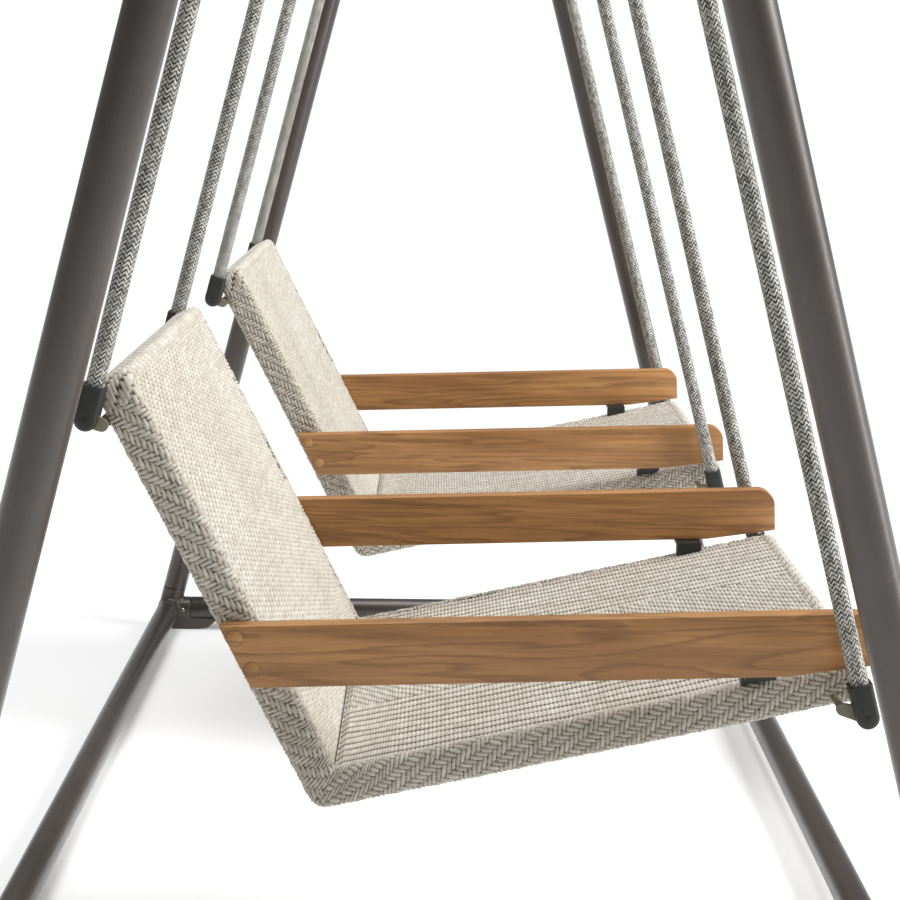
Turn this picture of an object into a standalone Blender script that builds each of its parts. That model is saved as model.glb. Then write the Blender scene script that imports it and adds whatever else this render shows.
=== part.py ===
"""Double garden swing: two woven lounge seats hung side by side in a tubular A-frame stand.

Metres, +Z up, standing on the floor with the origin under the middle of the stand.
The top beam runs along X, the seats face -Y, and "left" is -X.
Every seat is modelled round its own pivot, an empty on the axis of the top beam.
"""
import math

import bmesh
import bpy
from mathutils import Vector

# ---- driving dimensions ----
GAP = 0.0003                  # clearance between pieces that touch

BEAM_HEIGHT = 2.137           # axis of the top beam, where legs and ropes all meet
BEAM_RADIUS = 0.030
BEAM_WALL = 0.003
BEAM_OVERHANG = 0.036         # beam past the plane of the legs

FRAME_HALF_LENGTH = 1.133     # plane of each pair of legs
LEG_SLOPE = 0.2656            # sideways travel of a leg for each metre of height
TUBE_RADIUS = 0.0225
TUBE_WALL = 0.0025
SPIGOT_RADIUS = TUBE_RADIUS - TUBE_WALL - GAP
FOOT_HEIGHT = 0.020           # underside of the ground tubes
BASE_HEIGHT = FOOT_HEIGHT + TUBE_RADIUS
BASE_HALF_DEPTH = LEG_SLOPE * (BEAM_HEIGHT - BASE_HEIGHT)

ELBOW_RADIUS = 0.0240         # ball in which the three tubes of a base corner meet
STUB_LENGTH = 0.045           # corner centre to the end of its full-width stubs
SPIGOT_LENGTH = 0.032
STUB_START = 0.0013
FOOT_HALF_WIDTH = 0.015
FOOT_FLAT = 0.062             # flat sole, inwards from the corner centre
FOOT_LENGTH = 0.098           # whole shoe, inwards from the corner centre
FOOT_TOE = 0.019              # sole, outwards from the corner centre
FOOT_BEND = 0.003             # rise of the shoe's underside half way to its inner end
FOOT_RIM = 0.008              # height of the shoe's sides above the ground tubes' underside
FOOT_EASE = 0.002

CAP_DEPTH = 0.014             # beam cap: plug inside the beam, then its head and rounding
CAP_HEAD = 0.005
CAP_ROUND = 0.002

APEX_HUB_RADIUS = 0.040
APEX_HUB_HALF_WIDTH = 0.030
APEX_STUB_LENGTH = 0.105

SEAT_OFFSET = 0.565           # each seat's centre from the middle of the stand
SHELL_CORNER = (0.1315, 0.3606)   # y, z of the outer corner between back and seat
BACK_SLOPE = 0.5045           # rearward travel of the back for each metre of height
SEAT_SLOPE = 0.2237           # rise of the seat for each metre forward
BACK_LENGTH = 0.5007
SEAT_LENGTH = 0.5907
SHELL_THICKNESS = 0.0385
SHELL_HALF_WIDTH = 0.3035
SHELL_WALL = 0.0035           # woven cord over the inner frame
SHELL_EDGE = 0.008            # rounding of the shell's edges
CORNER_RADIUS = 0.020

INNER_TUBE_RADIUS = 0.012
BRACE_RADIUS = 0.010
INNER_BEND = 0.020            # centre-line radius of the inner frame's bends
INNER_SIDE = SHELL_HALF_WIDTH - SHELL_WALL - INNER_TUBE_RADIUS - 2 * GAP
INNER_END = SHELL_WALL + INNER_TUBE_RADIUS + 3 * GAP

ARM_REAR_TOP = (0.229, 0.565)     # y, z
ARM_REAR_HEIGHT = 0.065
ARM_RISE = 0.0326             # rise towards the front for each metre
ARM_BEND_Y = -0.354           # where the underside turns up along the seat
ARM_FRONT_BOTTOM = (-0.445, 0.5312)
ARM_FRONT_TOP_Y = -0.442
ARM_NOSE_RADIUS = 0.022
ARM_THICKNESS = 0.022
ARM_EDGE = 0.0018
ARM_INNER_FACE = SHELL_HALF_WIDTH + 0.0007

BRACKET_FRONT_Y = -0.344      # block between the seat's top and the underside of an armrest
BRACKET_REAR_Y = -0.312
BRACKET_INNER_X = 0.2835
BRACKET_FOOT_X = 0.2985       # outer side of the foot that stands on the seat
BRACKET_OUTER_X = 0.3225      # outer end of the flange under the armrest
BRACKET_FLANGE = 0.004

ROPE_RADIUS = 0.0093
ROPE_BORE = ROPE_RADIUS + 0.0005
ROPE_TOP_X = 0.314            # where a front and a back rope meet on the beam axis
BACK_PIN = (0.319, 0.360, 0.778)
FRONT_PIN = (0.345, -0.4335, 0.484)

CLEVIS_HALF_WIDTH = 0.012
CLEVIS_HALF_DEPTH = 0.0135
CLEVIS_TOP = 0.035            # shoulder above the pin
CLEVIS_SLOT_TOP = 0.0165
CLEVIS_SLOT = 0.0062
CLEVIS_EDGE = 0.005
ROPE_SEAT = 0.019             # rope's end above the pin
LUG_THICKNESS = 0.005
LUG_RADIUS = 0.0085           # round the pin
KNEE_RADIUS = 0.0065          # round the rod
LUG_ROD_RADIUS = 0.0042
FRONT_KNEE = (-0.023, 0.0119)     # rod from the pin, along the seat and square to it
BACK_KNEE = (-0.013, 0.0105)      # rod from the pin, along the back and square to it
TAIL_X = INNER_SIDE - 0.003   # middle of the flat bar out through the rear of the back
PIN_RADIUS = 0.004
PIN_PROUD = 0.001
PIN_EASE = 0.0008

HANGER_RADIUS = 0.038
HANGER_HALF_WIDTH = 0.022
HANGER_BORE = BEAM_RADIUS + 0.0006
SOCKET_RADIUS = 0.0135
SOCKET_END = 0.095            # socket mouth, from the beam axis along a rope
ROPE_START = 0.055            # rope's upper end, from the beam axis

ROUND = 24                    # sides of a round tube
FINE = 12                     # sides of a pin or a rod
WELD = 0.00004                # joins the doubled points that a cut can leave
ROPE_SIDES = 16               # sides of a rope's socket
ROPE_RESOLUTION = 3
OVERCUT = 0.010               # a cutting tool's reach past the surface that it opens
TINY = 0.001                  # tolerance in choosing edges by their place

X_AXIS = Vector((1, 0, 0))
SIDES = {"left": -1, "right": 1}
ENDS = {"front": -1, "back": 1}

FINISHES = {                  # colour, roughness, metallic
    "bronze_paint": ((0.085, 0.070, 0.060), 0.42, 0.35),
    "woven_cord": ((0.420, 0.360, 0.290), 0.85, 0.0),
    "teak": ((0.330, 0.170, 0.075), 0.50, 0.0),
    "rope": ((0.230, 0.230, 0.225), 0.90, 0.0),
    "charcoal_fitting": ((0.035, 0.035, 0.035), 0.50, 0.20),
    "steel": ((0.550, 0.540, 0.520), 0.30, 1.0),
    "olive_paint": ((0.240, 0.220, 0.160), 0.50, 0.20),
}


# ---- scene, materials and objects ----
def clear_scene():
    for obj in list(bpy.data.objects):
        bpy.data.objects.remove(obj, do_unlink=True)


def finish(name):
    """The Principled material of one finish, made the first time it is asked for."""
    if name in bpy.data.materials:
        return bpy.data.materials[name]
    colour, roughness, metallic = FINISHES[name]
    material = bpy.data.materials.new(name)
    material.use_nodes = True
    shader = material.node_tree.nodes["Principled BSDF"]
    shader.inputs["Base Color"].default_value = (*colour, 1)
    shader.inputs["Roughness"].default_value = roughness
    shader.inputs["Metallic"].default_value = metallic
    return material


def add_empty(name, location):
    empty = bpy.data.objects.new(name, None)
    bpy.context.scene.collection.objects.link(empty)
    empty.location = location
    return empty


def add_piece(name, bm, material_name, parent=None, location=(0, 0, 0), direction=None):
    """Link a bmesh as a named object; direction turns its own +Z that way."""
    bmesh.ops.recalc_face_normals(bm, faces=bm.faces)
    mesh = bpy.data.meshes.new(name)
    bm.to_mesh(mesh)
    bm.free()
    mesh.materials.append(finish(material_name))
    mesh.shade_smooth()
    mesh.set_sharp_from_angle(angle=math.radians(35))
    piece = bpy.data.objects.new(name, mesh)
    bpy.context.scene.collection.objects.link(piece)
    piece.parent = parent
    piece.location = location
    if direction is not None:
        piece.rotation_mode = "QUATERNION"
        piece.rotation_quaternion = Vector(direction).to_track_quat("Z", "Y")
    return piece


def weld(piece):
    modifier = piece.modifiers.new("weld", "WELD")
    modifier.merge_threshold = WELD


def combine(piece, tool, operation):
    """Join a tool to a piece (UNION) or cut it away (DIFFERENCE)."""
    tool.hide_render = True
    tool.display_type = "WIRE"
    modifier = piece.modifiers.new(tool.name, "BOOLEAN")
    modifier.operation = operation
    modifier.solver = "EXACT"
    modifier.object = tool


# ---- shapes ----
def turned_shape(profile, sides=ROUND):
    """Solid of revolution about +Z, from (radius, height) points that start and end on the axis."""
    bm = bmesh.new()
    verts = [bm.verts.new((radius, 0, height)) for radius, height in profile]
    edges = [bm.edges.new(pair) for pair in zip(verts, verts[1:])]
    bmesh.ops.spin(bm, geom=verts + edges, axis=(0, 0, 1), cent=(0, 0, 0),
                   steps=sides, angle=math.tau, use_merge=False)
    bmesh.ops.remove_doubles(bm, verts=bm.verts, dist=1e-5)
    return bm


def rod_shape(length, radius, sides=ROUND, start=0.0):
    return turned_shape([(0, start), (radius, start), (radius, length), (0, length)], sides)


def ring_shape(half_width, outer, inner, sides=ROUND):
    """Ring or tube about +Z, open at both ends."""
    bm = bmesh.new()
    rings = []
    for radius, height in ((outer, -half_width), (outer, half_width),
                           (inner, half_width), (inner, -half_width)):
        ring = bmesh.ops.create_circle(bm, segments=sides, radius=radius)["verts"]
        bmesh.ops.translate(bm, verts=ring, vec=(0, 0, height))
        rings.append(ring)
    for low, high in zip(rings, rings[1:] + rings[:1]):
        for i in range(sides):
            j = (i + 1) % sides
            bm.faces.new((low[i], low[j], high[j], high[i]))
    return bm


def prism_shape(outline, low, high):
    """Outline of (y, z) points, extruded along X from low to high."""
    bm = bmesh.new()
    face = bm.faces.new([bm.verts.new((low, y, z)) for y, z in outline])
    walls = bmesh.ops.extrude_face_region(bm, geom=[face])["geom"]
    verts = [item for item in walls if isinstance(item, bmesh.types.BMVert)]
    bmesh.ops.translate(bm, verts=verts, vec=(high - low, 0, 0))
    return bm


def round_edges(bm, chosen, radius, segments):
    edges = [edge for edge in bm.edges if chosen(edge)]
    bmesh.ops.bevel(bm, geom=edges, offset=radius, segments=segments, profile=0.5, affect="EDGES")
    return bm


def arc(centre, radius, start, stop, steps):
    """Points on an arc in the (y, z) plane, angles in radians from +Y towards +Z."""
    turns = [start + (stop - start) * i / steps for i in range(steps + 1)]
    return [centre + radius * Vector((math.cos(turn), math.sin(turn))) for turn in turns]


def angle_of(vector):
    return math.atan2(vector.y, vector.x)


def slot_outline(start, end, start_radius, end_radius):
    """A bar with two round ends, from start to end."""
    heading = angle_of(end - start)
    quarter = math.pi / 2
    tail = arc(start, start_radius, heading + quarter, heading + 3 * quarter, 6)
    head = arc(end, end_radius, heading - quarter, heading + quarter, 6)
    return tail + head


def tube_between(name, start, end, radius, wall):
    """Hollow round tube from start to end."""
    start, end = Vector(start), Vector(end)
    half = (end - start).length / 2
    bm = ring_shape(half, radius, radius - wall)
    return add_piece(name, bm, "bronze_paint", None, (start + end) / 2, end - start)


# ---- stand ----
def leg_direction(end):
    """Unit vector down one leg, from the beam; end is -1 at the front and 1 at the back."""
    return Vector((0, end * LEG_SLOPE, -1)).normalized()


def base_corner_centre(side, end):
    return Vector((side * FRAME_HALF_LENGTH, end * BASE_HALF_DEPTH, BASE_HEIGHT))


def stepped_stub(length):
    """Full-width stub with a thinner spigot that fits inside a tube."""
    tip = length + SPIGOT_LENGTH
    return turned_shape([(0, STUB_START), (TUBE_RADIUS, STUB_START), (TUBE_RADIUS, length),
                         (SPIGOT_RADIUS, length), (SPIGOT_RADIUS, tip), (0, tip)])


def make_base_corner(name, side, end):
    """Ball elbow with stubs for leg, cross bar and ground rail, on a shoe under the cross bar."""
    centre = base_corner_centre(side, end)
    ball = bmesh.new()
    bmesh.ops.create_uvsphere(ball, u_segments=ROUND, v_segments=FINE, radius=ELBOW_RADIUS)
    corner = add_piece(name, ball, "bronze_paint", None, centre)

    stubs = {"leg": -leg_direction(end), "bar": Vector((0, -end, 0)), "rail": Vector((-side, 0, 0))}
    for stub_name, direction in stubs.items():
        stub = add_piece(f"{name}_{stub_name}_stub", stepped_stub(STUB_LENGTH), "bronze_paint",
                         None, centre, direction)
        combine(corner, stub, "UNION")

    rim = FOOT_HEIGHT + FOOT_RIM
    outline = [(FOOT_TOE + FOOT_EASE, FOOT_HEIGHT), (FOOT_TOE, 0), (-FOOT_FLAT, 0),
               (-(FOOT_FLAT + FOOT_LENGTH) / 2, FOOT_BEND), (-FOOT_LENGTH, FOOT_HEIGHT),
               (-FOOT_LENGTH + FOOT_EASE, rim), (0, rim)]
    placed = [(centre.y + end * y, z) for y, z in outline]
    shoe = add_piece(f"{name}_shoe", prism_shape(placed, -FOOT_HALF_WIDTH, FOOT_HALF_WIDTH),
                     "bronze_paint", None, (centre.x, 0, 0))
    room = add_piece(f"{name}_bar_room",
                     rod_shape(2 * FOOT_LENGTH, TUBE_RADIUS + GAP, ROUND, STUB_LENGTH - GAP),
                     "bronze_paint", None, centre, stubs["bar"])
    combine(shoe, room, "DIFFERENCE")
    combine(corner, shoe, "UNION")
    weld(corner)


def make_apex_joint(name, side):
    """Hub round the beam with a stub and spigot for each leg."""
    centre = Vector((side * FRAME_HALF_LENGTH, 0, BEAM_HEIGHT))
    hub = rod_shape(APEX_HUB_HALF_WIDTH, APEX_HUB_RADIUS, ROUND, -APEX_HUB_HALF_WIDTH)
    joint = add_piece(name, hub, "bronze_paint", None, centre, X_AXIS)
    for end_name, end in ENDS.items():
        stub = add_piece(f"{name}_{end_name}_stub", stepped_stub(APEX_STUB_LENGTH),
                         "bronze_paint", None, centre, leg_direction(end))
        combine(joint, stub, "UNION")
    bore = rod_shape(2 * APEX_HUB_HALF_WIDTH, BEAM_RADIUS + GAP, ROUND, -2 * APEX_HUB_HALF_WIDTH)
    combine(joint, add_piece(f"{name}_bore", bore, "bronze_paint", None, centre, X_AXIS),
            "DIFFERENCE")
    weld(joint)


def make_legs():
    for side_name, side in SIDES.items():
        apex = Vector((side * FRAME_HALF_LENGTH, 0, BEAM_HEIGHT))
        for end_name, end in ENDS.items():
            down = leg_direction(end)
            top = apex + down * (APEX_STUB_LENGTH + GAP)
            bottom = base_corner_centre(side, end) - down * (STUB_LENGTH + GAP)
            tube_between(f"leg_{side_name}_{end_name}", bottom, top, TUBE_RADIUS, TUBE_WALL)


def make_ground_tubes():
    """Rails along the front and back, and cross bars under each pair of legs."""
    shoulder = STUB_LENGTH + GAP
    for end_name, end in ENDS.items():
        reach = Vector((FRAME_HALF_LENGTH - shoulder, 0, 0))
        middle = Vector((0, end * BASE_HALF_DEPTH, BASE_HEIGHT))
        tube_between(f"ground_rail_{end_name}", middle - reach, middle + reach,
                     TUBE_RADIUS, TUBE_WALL)
    for side_name, side in SIDES.items():
        reach = Vector((0, BASE_HALF_DEPTH - shoulder, 0))
        middle = Vector((side * FRAME_HALF_LENGTH, 0, BASE_HEIGHT))
        tube_between(f"cross_bar_{side_name}", middle - reach, middle + reach,
                     TUBE_RADIUS, TUBE_WALL)


def make_beam():
    reach = Vector((FRAME_HALF_LENGTH + BEAM_OVERHANG, 0, 0))
    middle = Vector((0, 0, BEAM_HEIGHT))
    tube_between("top_beam", middle - reach, middle + reach, BEAM_RADIUS, BEAM_WALL)
    plug_radius = BEAM_RADIUS - BEAM_WALL - GAP
    for side_name, side in SIDES.items():
        cap = turned_shape([(0, -CAP_DEPTH), (plug_radius, -CAP_DEPTH), (plug_radius, GAP),
                            (BEAM_RADIUS, GAP), (BEAM_RADIUS, CAP_HEAD - CAP_ROUND),
                            (BEAM_RADIUS - CAP_ROUND, CAP_HEAD), (0, CAP_HEAD)])
        add_piece(f"beam_cap_{side_name}", cap, "charcoal_fitting", None,
                  middle + side * reach, side * X_AXIS)


def make_stand():
    make_beam()
    make_legs()
    make_ground_tubes()
    for side_name, side in SIDES.items():
        make_apex_joint(f"apex_joint_{side_name}", side)
        for end_name, end in ENDS.items():
            make_base_corner(f"base_corner_{side_name}_{end_name}", side, end)


# ---- seat shell: two woven slabs that meet on a mitre ----
CORNER = Vector(SHELL_CORNER)
BACK_UP = Vector((BACK_SLOPE, 1)).normalized()
SEAT_OUT = Vector((-1, SEAT_SLOPE)).normalized()
MITRE = (BACK_UP + SEAT_OUT).normalized()          # from the outer to the inner corner
HALF_ANGLE = BACK_UP.angle(SEAT_OUT) / 2
ARC_CENTRE = CORNER + MITRE * (CORNER_RADIUS / math.sin(HALF_ANGLE))


def inward(along):
    """Unit normal of a slab's outer face, towards the sitter."""
    normal = Vector((-along.y, along.x))
    return normal if normal.dot(MITRE) > 0 else -normal


def slab_outline(along, length, inset, overshoot):
    """Section of one slab from the mitre to its end, inset on every outer face.

    overshoot moves the mitred end past the mitre, so that a cutter leaves that end open.
    """
    normal = inward(along)
    inner = CORNER + MITRE * ((SHELL_THICKNESS - inset) / math.sin(HALF_ANGLE))
    radius = CORNER_RADIUS - inset
    face_angle = angle_of(-normal)
    mitre_angle = angle_of(-MITRE)
    turn = (mitre_angle - face_angle + math.pi) % math.tau - math.pi
    turn -= math.copysign(GAP / (2 * radius), turn)
    rounded = arc(ARC_CENTRE, radius, face_angle + turn, face_angle, 5)
    inner += along * (GAP / (2 * math.sin(HALF_ANGLE)))
    end = length - inset
    outline = [inner] + rounded + [CORNER + along * end + normal * inset,
                                   CORNER + along * end + normal * (SHELL_THICKNESS - inset)]
    if overshoot:
        away = along - MITRE * along.dot(MITRE)
        back_off = -away.normalized() * overshoot
        outline = [inner, inner + back_off, rounded[0] + back_off] + outline[1:]
    return outline


def make_slab(name, pivot, along, length):
    """Hollow woven slab, open at the mitre, where the inner frame passes through."""
    bm = prism_shape(slab_outline(along, length, 0, 0), -SHELL_HALF_WIDTH, SHELL_HALF_WIDTH)

    def is_outer_edge(edge):
        ends = [Vector(vert.co.yz) - CORNER for vert in edge.verts]
        off_mitre = [abs(point.cross(MITRE)) > 2 * TINY for point in ends]
        runs_across = abs(edge.verts[0].co.x - edge.verts[1].co.x) > SHELL_HALF_WIDTH
        at_far_end = all(point.dot(along) > length / 2 for point in ends)
        return at_far_end if runs_across else any(off_mitre)

    round_edges(bm, is_outer_edge, SHELL_EDGE, 3)
    slab = add_piece(name, bm, "woven_cord", pivot, (0, 0, -BEAM_HEIGHT))
    room = SHELL_HALF_WIDTH - SHELL_WALL
    hollow = prism_shape(slab_outline(along, length, SHELL_WALL, OVERCUT), -room, room)
    combine(slab, add_piece(f"{name}_hollow", hollow, "woven_cord", pivot, (0, 0, -BEAM_HEIGHT)),
            "DIFFERENCE")
    return slab


# ---- inner frame and its lugs ----
def mid_slab(along, distance):
    """Point on the centre plane of a slab, at a distance from the outer corner."""
    return CORNER + along * distance + inward(along) * (SHELL_THICKNESS / 2)


def rounded_path(corners, radius, steps):
    """Closed path of straight runs joined by arcs, through corner points in space."""
    points = []
    count = len(corners)
    for i, corner in enumerate(corners):
        back = (corners[i - 1] - corner).normalized()
        ahead = (corners[(i + 1) % count] - corner).normalized()
        half = back.angle(ahead) / 2
        centre = corner + (back + ahead).normalized() * (radius / math.sin(half))
        start = (corner + back * (radius / math.tan(half)) - centre).normalized()
        stop = (corner + ahead * (radius / math.tan(half)) - centre).normalized()
        points += [centre + radius * start.slerp(stop, step / steps) for step in range(steps + 1)]
    return points


def loop_shape(points, radius, sides):
    """Round tube that follows a closed path, its section carried along without twist."""
    bm = bmesh.new()
    count = len(points)
    heading = X_AXIS
    across = Vector((0, 1, 0))
    rings = []
    for i, point in enumerate(points):
        tangent = (points[(i + 1) % count] - points[i - 1]).normalized()
        across = heading.rotation_difference(tangent) @ across
        heading = tangent
        up = tangent.cross(across)
        turns = [math.tau * k / sides for k in range(sides)]
        rings.append([bm.verts.new(point + radius * (math.cos(t) * across + math.sin(t) * up))
                      for t in turns])
    for i, ring in enumerate(rings):
        following = rings[(i + 1) % count]
        for k in range(sides):
            j = (k + 1) % sides
            bm.faces.new((ring[k], ring[j], following[j], following[k]))
    return bm


def inner_frame_corners():
    """Centre line of the inner frame: up one side, across the top, down and round the front."""
    top = mid_slab(BACK_UP, BACK_LENGTH - INNER_END)
    bend = CORNER + MITRE * (SHELL_THICKNESS / 2 / math.sin(HALF_ANGLE))
    front = mid_slab(SEAT_OUT, SEAT_LENGTH - INNER_END)
    left = [Vector((-INNER_SIDE, *point)) for point in (top, bend, front)]
    right = [Vector((INNER_SIDE, *point)) for point in (front, bend, top)]
    return left + right


def knee_of(pin, along, offset):
    """Where a lug's plate meets its rod: offset from the pin along a slab and square to it."""
    return Vector(pin[1:]) + along * offset[0] + inward(along) * offset[1]


def back_tail_outline(grow):
    """Flat bar from the inner tube, out through the rear face of the back, to the rod."""
    knee = knee_of(BACK_PIN, BACK_UP, BACK_KNEE)
    root = mid_slab(BACK_UP, (knee - CORNER).dot(BACK_UP))
    return slot_outline(root, knee, KNEE_RADIUS + grow, KNEE_RADIUS + grow)


def make_lug(name, frame, pivot, side, pin, knee, rod_start):
    """Plate for a pin, outboard of the seat, on a rod that runs out from rod_start."""
    middle = side * pin[0]
    plate = prism_shape(slot_outline(Vector(pin[1:]), knee, LUG_RADIUS, KNEE_RADIUS),
                        middle - LUG_THICKNESS / 2, middle + LUG_THICKNESS / 2)
    combine(frame, add_piece(f"{name}_plate", plate, "olive_paint", pivot, (0, 0, -BEAM_HEIGHT)),
            "UNION")
    rod = rod_shape(pin[0] - rod_start, LUG_ROD_RADIUS, FINE)
    place = Vector((side * rod_start, *knee)) - Vector((0, 0, BEAM_HEIGHT))
    combine(frame, add_piece(f"{name}_rod", rod, "olive_paint", pivot, place, side * X_AXIS),
            "UNION")
    combine(frame, pin_hole(f"{name}_hole", pivot, side, pin), "DIFFERENCE")


def cut_lug_rooms(seat_name, back, bottom, pivot):
    """Openings in the weave where the lugs of the inner frame come out."""
    knee = knee_of(FRONT_PIN, SEAT_OUT, FRONT_KNEE)
    for side_name, side in SIDES.items():
        half = LUG_THICKNESS / 2 + GAP
        slot = prism_shape(back_tail_outline(GAP), side * TAIL_X - half, side * TAIL_X + half)
        combine(back, add_piece(f"{seat_name}_tail_slot_{side_name}", slot, "woven_cord", pivot,
                                (0, 0, -BEAM_HEIGHT)), "DIFFERENCE")
        rod = rod_shape(SHELL_HALF_WIDTH - INNER_SIDE + OVERCUT, LUG_ROD_RADIUS + GAP, FINE)
        place = Vector((side * INNER_SIDE, *knee)) - Vector((0, 0, BEAM_HEIGHT))
        combine(bottom, add_piece(f"{seat_name}_rod_hole_{side_name}", rod, "woven_cord", pivot,
                                  place, side * X_AXIS), "DIFFERENCE")


def make_inner_frame(name, pivot):
    loop = loop_shape(rounded_path(inner_frame_corners(), INNER_BEND, 4), INNER_TUBE_RADIUS, FINE)
    frame = add_piece(name, loop, "olive_paint", pivot, (0, 0, -BEAM_HEIGHT))
    bend = CORNER + MITRE * (SHELL_THICKNESS / 2 / math.sin(HALF_ANGLE)
                             + INNER_BEND * (1 / math.sin(HALF_ANGLE) - 1))
    place = Vector((-INNER_SIDE, *bend)) - Vector((0, 0, BEAM_HEIGHT))
    brace = rod_shape(2 * INNER_SIDE, BRACE_RADIUS, FINE)
    combine(frame, add_piece(f"{name}_brace", brace, "olive_paint", pivot, place, X_AXIS),
            "UNION")
    for side_name, side in SIDES.items():
        make_lug(f"{name}_front_lug_{side_name}", frame, pivot, side, FRONT_PIN,
                 knee_of(FRONT_PIN, SEAT_OUT, FRONT_KNEE), INNER_SIDE)
        middle = side * TAIL_X
        tail = prism_shape(back_tail_outline(0), middle - LUG_THICKNESS / 2,
                           middle + LUG_THICKNESS / 2)
        combine(frame, add_piece(f"{name}_tail_{side_name}", tail, "olive_paint", pivot,
                                 (0, 0, -BEAM_HEIGHT)), "UNION")
        make_lug(f"{name}_back_lug_{side_name}", frame, pivot, side, BACK_PIN,
                 knee_of(BACK_PIN, BACK_UP, BACK_KNEE), TAIL_X)
    weld(frame)


# ---- armrests ----
def arm_underside(y):
    rear_bottom = arm_rear_bottom()
    return rear_bottom.y + ARM_RISE * (rear_bottom.x - y)


def arm_rear_bottom():
    drop = ARM_REAR_HEIGHT
    return Vector((ARM_REAR_TOP[0] - BACK_SLOPE * drop, ARM_REAR_TOP[1] - drop))


def arm_outline():
    """Side view of an armrest, cut along the back at the rear and rounded at the nose."""
    rear_top = Vector(ARM_REAR_TOP)
    front_top = Vector((ARM_FRONT_TOP_Y, rear_top.y + ARM_RISE * (rear_top.x - ARM_FRONT_TOP_Y)))
    front_bottom = Vector(ARM_FRONT_BOTTOM)
    down = (front_bottom - front_top).normalized()
    back = (rear_top - front_top).normalized()
    half = down.angle(back) / 2
    centre = front_top + (down + back).normalized() * (ARM_NOSE_RADIUS / math.sin(half))
    start = angle_of(Vector((-back.y, back.x)))
    stop = start + math.pi - 2 * half
    bend = Vector((ARM_BEND_Y, arm_underside(ARM_BEND_Y)))
    return [rear_top] + arc(centre, ARM_NOSE_RADIUS, start, stop, 5) + [
        front_bottom, bend, arm_rear_bottom()]


def make_armrest(name, pivot, side):
    faces = sorted((side * ARM_INNER_FACE, side * (ARM_INNER_FACE + ARM_THICKNESS)))
    bm = prism_shape(arm_outline(), *faces)
    round_edges(bm, lambda edge: abs(edge.verts[0].co.x - edge.verts[1].co.x) < 0.001,
                ARM_EDGE, 2)
    add_piece(name, bm, "teak", pivot, (0, 0, -BEAM_HEIGHT))


def seat_top(y):
    """Height of the seat's upper face."""
    point = CORNER + inward(SEAT_OUT) * SHELL_THICKNESS
    return point.y + SEAT_SLOPE * (point.x - y)


def make_arm_bracket(name, pivot, side):
    """Foot on the seat's upper face, with a flange that reaches out under the armrest."""
    front, rear = BRACKET_FRONT_Y, BRACKET_REAR_Y
    top = [(rear, arm_underside(rear) - GAP), (front, arm_underside(front) - GAP)]
    foot = [(front, seat_top(front) + GAP), (rear, seat_top(rear) + GAP)] + top
    plate = [(y, z - BRACKET_FLANGE) for y, z in reversed(top)] + top
    foot_x = sorted((side * BRACKET_INNER_X, side * BRACKET_FOOT_X))
    plate_x = sorted((side * BRACKET_INNER_X, side * BRACKET_OUTER_X))
    bracket = add_piece(name, prism_shape(foot, *foot_x), "charcoal_fitting", pivot,
                        (0, 0, -BEAM_HEIGHT))
    flange = add_piece(f"{name}_flange", prism_shape(plate, *plate_x), "charcoal_fitting", pivot,
                       (0, 0, -BEAM_HEIGHT))
    combine(bracket, flange, "UNION")
    weld(bracket)


# ---- ropes and their fittings ----
def rope_line(side, pin):
    """Top of a rope on the beam axis, and its direction down to the pin, in the seat's axes."""
    top = Vector((side * ROPE_TOP_X, 0, BEAM_HEIGHT))
    bottom = Vector((side * pin[0], pin[1], pin[2]))
    return top, bottom


def pin_hole(name, pivot, side, pin):
    reach = CLEVIS_HALF_DEPTH + OVERCUT
    hole = rod_shape(reach, PIN_RADIUS + GAP, FINE, -reach)
    place = (side * pin[0], pin[1], pin[2] - BEAM_HEIGHT)
    return add_piece(name, hole, "steel", pivot, place, X_AXIS)


def make_pin(name, pivot, side, pin):
    reach = CLEVIS_HALF_DEPTH + PIN_PROUD
    head, shoulder = PIN_RADIUS - PIN_EASE, reach - PIN_EASE
    bm = turned_shape([(0, -reach), (head, -reach), (PIN_RADIUS, -shoulder),
                       (PIN_RADIUS, shoulder), (head, reach), (0, reach)], FINE)
    place = (side * pin[0], pin[1], pin[2] - BEAM_HEIGHT)
    add_piece(name, bm, "steel", pivot, place, X_AXIS)


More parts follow.
